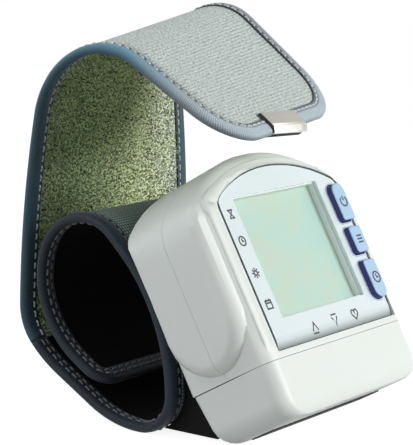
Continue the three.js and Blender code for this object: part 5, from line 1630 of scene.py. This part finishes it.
class MONITOR_OT_stitching(bpy.types.Operator):
    """Sews the edge tape down with rows of single stitches"""
    bl_idname = "monitor.stitching"
    bl_label = "Stitching"

    def execute(self, context):
        loop, tail = loop_strap(), tail_strap()
        inner_seam = seam(loop, INNER_SEAM_INSET, STRAP_INNER + INNER_SEAM_LIFT, 1)
        loop_seams = [*edge_seams(loop), inner_seam]
        settle(stitching("cuff_stitches", loop_seams, material_of("cuff_thread")), MONITOR)
        over_hinge(tail, stitching("strap_stitches", edge_seams(tail), material_of("thread")))
        return {"FINISHED"}


class MONITOR_OT_clip(bpy.types.Operator):
    """Folds the metal clip over the free strap's end"""
    bl_idname = "monitor.clip"
    bl_label = "Strap clip"

    def execute(self, context):
        pieces = clip_pieces(tail_strap())
        for piece in pieces:
            settle(piece, TAIL_BODY)
        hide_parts("strap_end_clip")
        return {"FINISHED"}


# Studio

def flat_sheet(name, corners, material):
    """A single flat face."""
    mesh = bmesh.new()
    mesh.faces.new([mesh.verts.new(c) for c in corners])
    return finish_mesh(name, mesh, material)


def seen_directly(tree):
    """1 for rays from the camera, off gloss and through glass, 0 for light that falls on things."""
    rays = add(tree, "LightPath").node.outputs
    return mingle(
        tree, "MAXIMUM", rays["Is Camera Ray"], rays["Is Glossy Ray"], rays["Is Transmission Ray"])


FLOOR_REACH = 0.6
FLOOR_COLOUR = "#9C9C9C"
FLOOR_GLOW = 0.88


def make_floor():
    """Pale painted board that keeps the shadow and lifts towards white where it is seen."""
    material, tree, _ = start_material(
        "pale painted board", Base_Color=linear(FLOOR_COLOUR), Roughness=0.9)
    strength = add(tree, "MapRange", seen_directly(tree), To_Min=0.0, To_Max=FLOOR_GLOW)
    glow = add(tree, "Emission", Color=(1, 1, 1, 1), Strength=strength)
    both = add(tree, "AddShader", tree.nodes["Principled BSDF"].outputs["BSDF"], glow)
    feed(tree, tree.nodes["Material Output"].inputs, Surface=both)
    r = FLOOR_REACH
    flat_sheet("floor", [(-r, -r, 0), (r, -r, 0), (r, r, 0), (-r, r, 0)], material)


SKY_LIGHT = 0.17


def make_surroundings(scene):
    """Even soft light from all round, seen as white."""
    world = bpy.data.worlds.new("white studio")
    scene.world = world
    world.use_nodes = True
    tree = world.node_tree
    strength = add(tree, "MapRange", seen_directly(tree), To_Min=SKY_LIGHT, To_Max=1.0)
    feed(tree, tree.nodes["Background"].inputs, Color=(1, 1, 1, 1), Strength=strength)


LAMP_DISTANCE = 0.9
LAMP_AIM = Vector((0, 0, 0.055))
# Each lamp's azimuth and height in degrees, its size in metres, its power in watts and its tint.
LAMPS = {
    "key": (25, 20, 0.45, 6.4, "#FFFFFF"),
    "fill": (-100, 20, 0.7, 2.5, "#F8FAFF"),
    "rim": (-150, 48, 0.6, 2.2, "#FFFFFF"),
}


def make_lamp(name, azimuth, height, size, power, tint):
    """A round lamp aimed at the object; its azimuth counts from +X to +Y, in degrees."""
    data = bpy.data.lights.new(name, "AREA")
    data.shape = "DISK"
    data.size = size
    data.energy = power
    data.color = linear(tint)[:3]
    lamp = bpy.data.objects.new(name, data)
    a, h = math.radians(azimuth), math.radians(height)
    way = Vector((math.cos(a) * math.cos(h), math.sin(a) * math.cos(h), math.sin(h)))
    lamp.location = LAMP_AIM + way * LAMP_DISTANCE
    lamp.rotation_euler = way.to_track_quat("Z", "Y").to_euler()
    bpy.context.scene.collection.objects.link(lamp)


CAMERA_PLACE = (0.305383, -0.405176, 0.136917)
CAMERA_AZIMUTH, CAMERA_HEIGHT = 37.54, 9.39
CAMERA_LENS = 147.76
SENSOR_WIDTH = 36
CLIP_START, CLIP_END = 0.01, 50


def make_camera(scene):
    """Camera at the photograph's place, looking along its azimuth and slightly down."""
    data = bpy.data.cameras.new("camera")
    data.sensor_width = SENSOR_WIDTH
    data.lens = CAMERA_LENS
    data.clip_start, data.clip_end = CLIP_START, CLIP_END
    camera = bpy.data.objects.new("camera", data)
    azimuth, height = math.radians(CAMERA_AZIMUTH), math.radians(CAMERA_HEIGHT)
    look = Vector((
        -math.sin(azimuth) * math.cos(height), math.cos(azimuth) * math.cos(height),
        -math.sin(height)))
    camera.location = CAMERA_PLACE
    camera.rotation_euler = look.to_track_quat("-Z", "Y").to_euler()
    scene.collection.objects.link(camera)
    scene.camera = camera


# Panel and registration

class MONITOR_PT_build(bpy.types.Panel):
    """Lists the steps that dress the monitor"""
    bl_label = "Wrist monitor"
    bl_idname = "MONITOR_PT_build"
    bl_space_type = "VIEW_3D"
    bl_region_type = "UI"
    bl_category = "Monitor"

    def draw(self, context):
        for settings in (context.scene.monitor_sizes, context.scene.monitor_colours):
            box = self.layout.box()
            for key in settings.__annotations__:
                box.prop(settings, key)
        for operator in OPERATORS:
            self.layout.operator(operator.bl_idname)


OPERATORS = (
    MONITOR_OT_studio, MONITOR_OT_finishes, MONITOR_OT_shells, MONITOR_OT_panel,
    MONITOR_OT_buttons, MONITOR_OT_icons, MONITOR_OT_bindings, MONITOR_OT_cuff,
    MONITOR_OT_free_strap, MONITOR_OT_stitching, MONITOR_OT_clip)
CLASSES = (MonitorSizes, MonitorColours, *OPERATORS, MONITOR_PT_build)


def register():
    """Registers the classes and puts the settings on the scene."""
    for item in CLASSES:
        bpy.utils.register_class(item)
    bpy.types.Scene.monitor_sizes = PointerProperty(type=MonitorSizes)
    bpy.types.Scene.monitor_colours = PointerProperty(type=MonitorColours)


def unregister():
    """Takes the settings and the classes away again."""
    del bpy.types.Scene.monitor_colours
    del bpy.types.Scene.monitor_sizes
    for item in reversed(CLASSES):
        bpy.utils.unregister_class(item)


def main():
    """Registers the add-on and runs its operators in order."""
    register()
    bpy.ops.monitor.studio()
    bpy.ops.monitor.finishes()
    bpy.ops.monitor.shells()
    bpy.ops.monitor.panel()
    bpy.ops.monitor.buttons()
    bpy.ops.monitor.icons()
    bpy.ops.monitor.bindings()
    bpy.ops.monitor.cuff()
    bpy.ops.monitor.free_strap()
    bpy.ops.monitor.stitching()
    bpy.ops.monitor.clip()


if __name__ == "__main__":
    main()
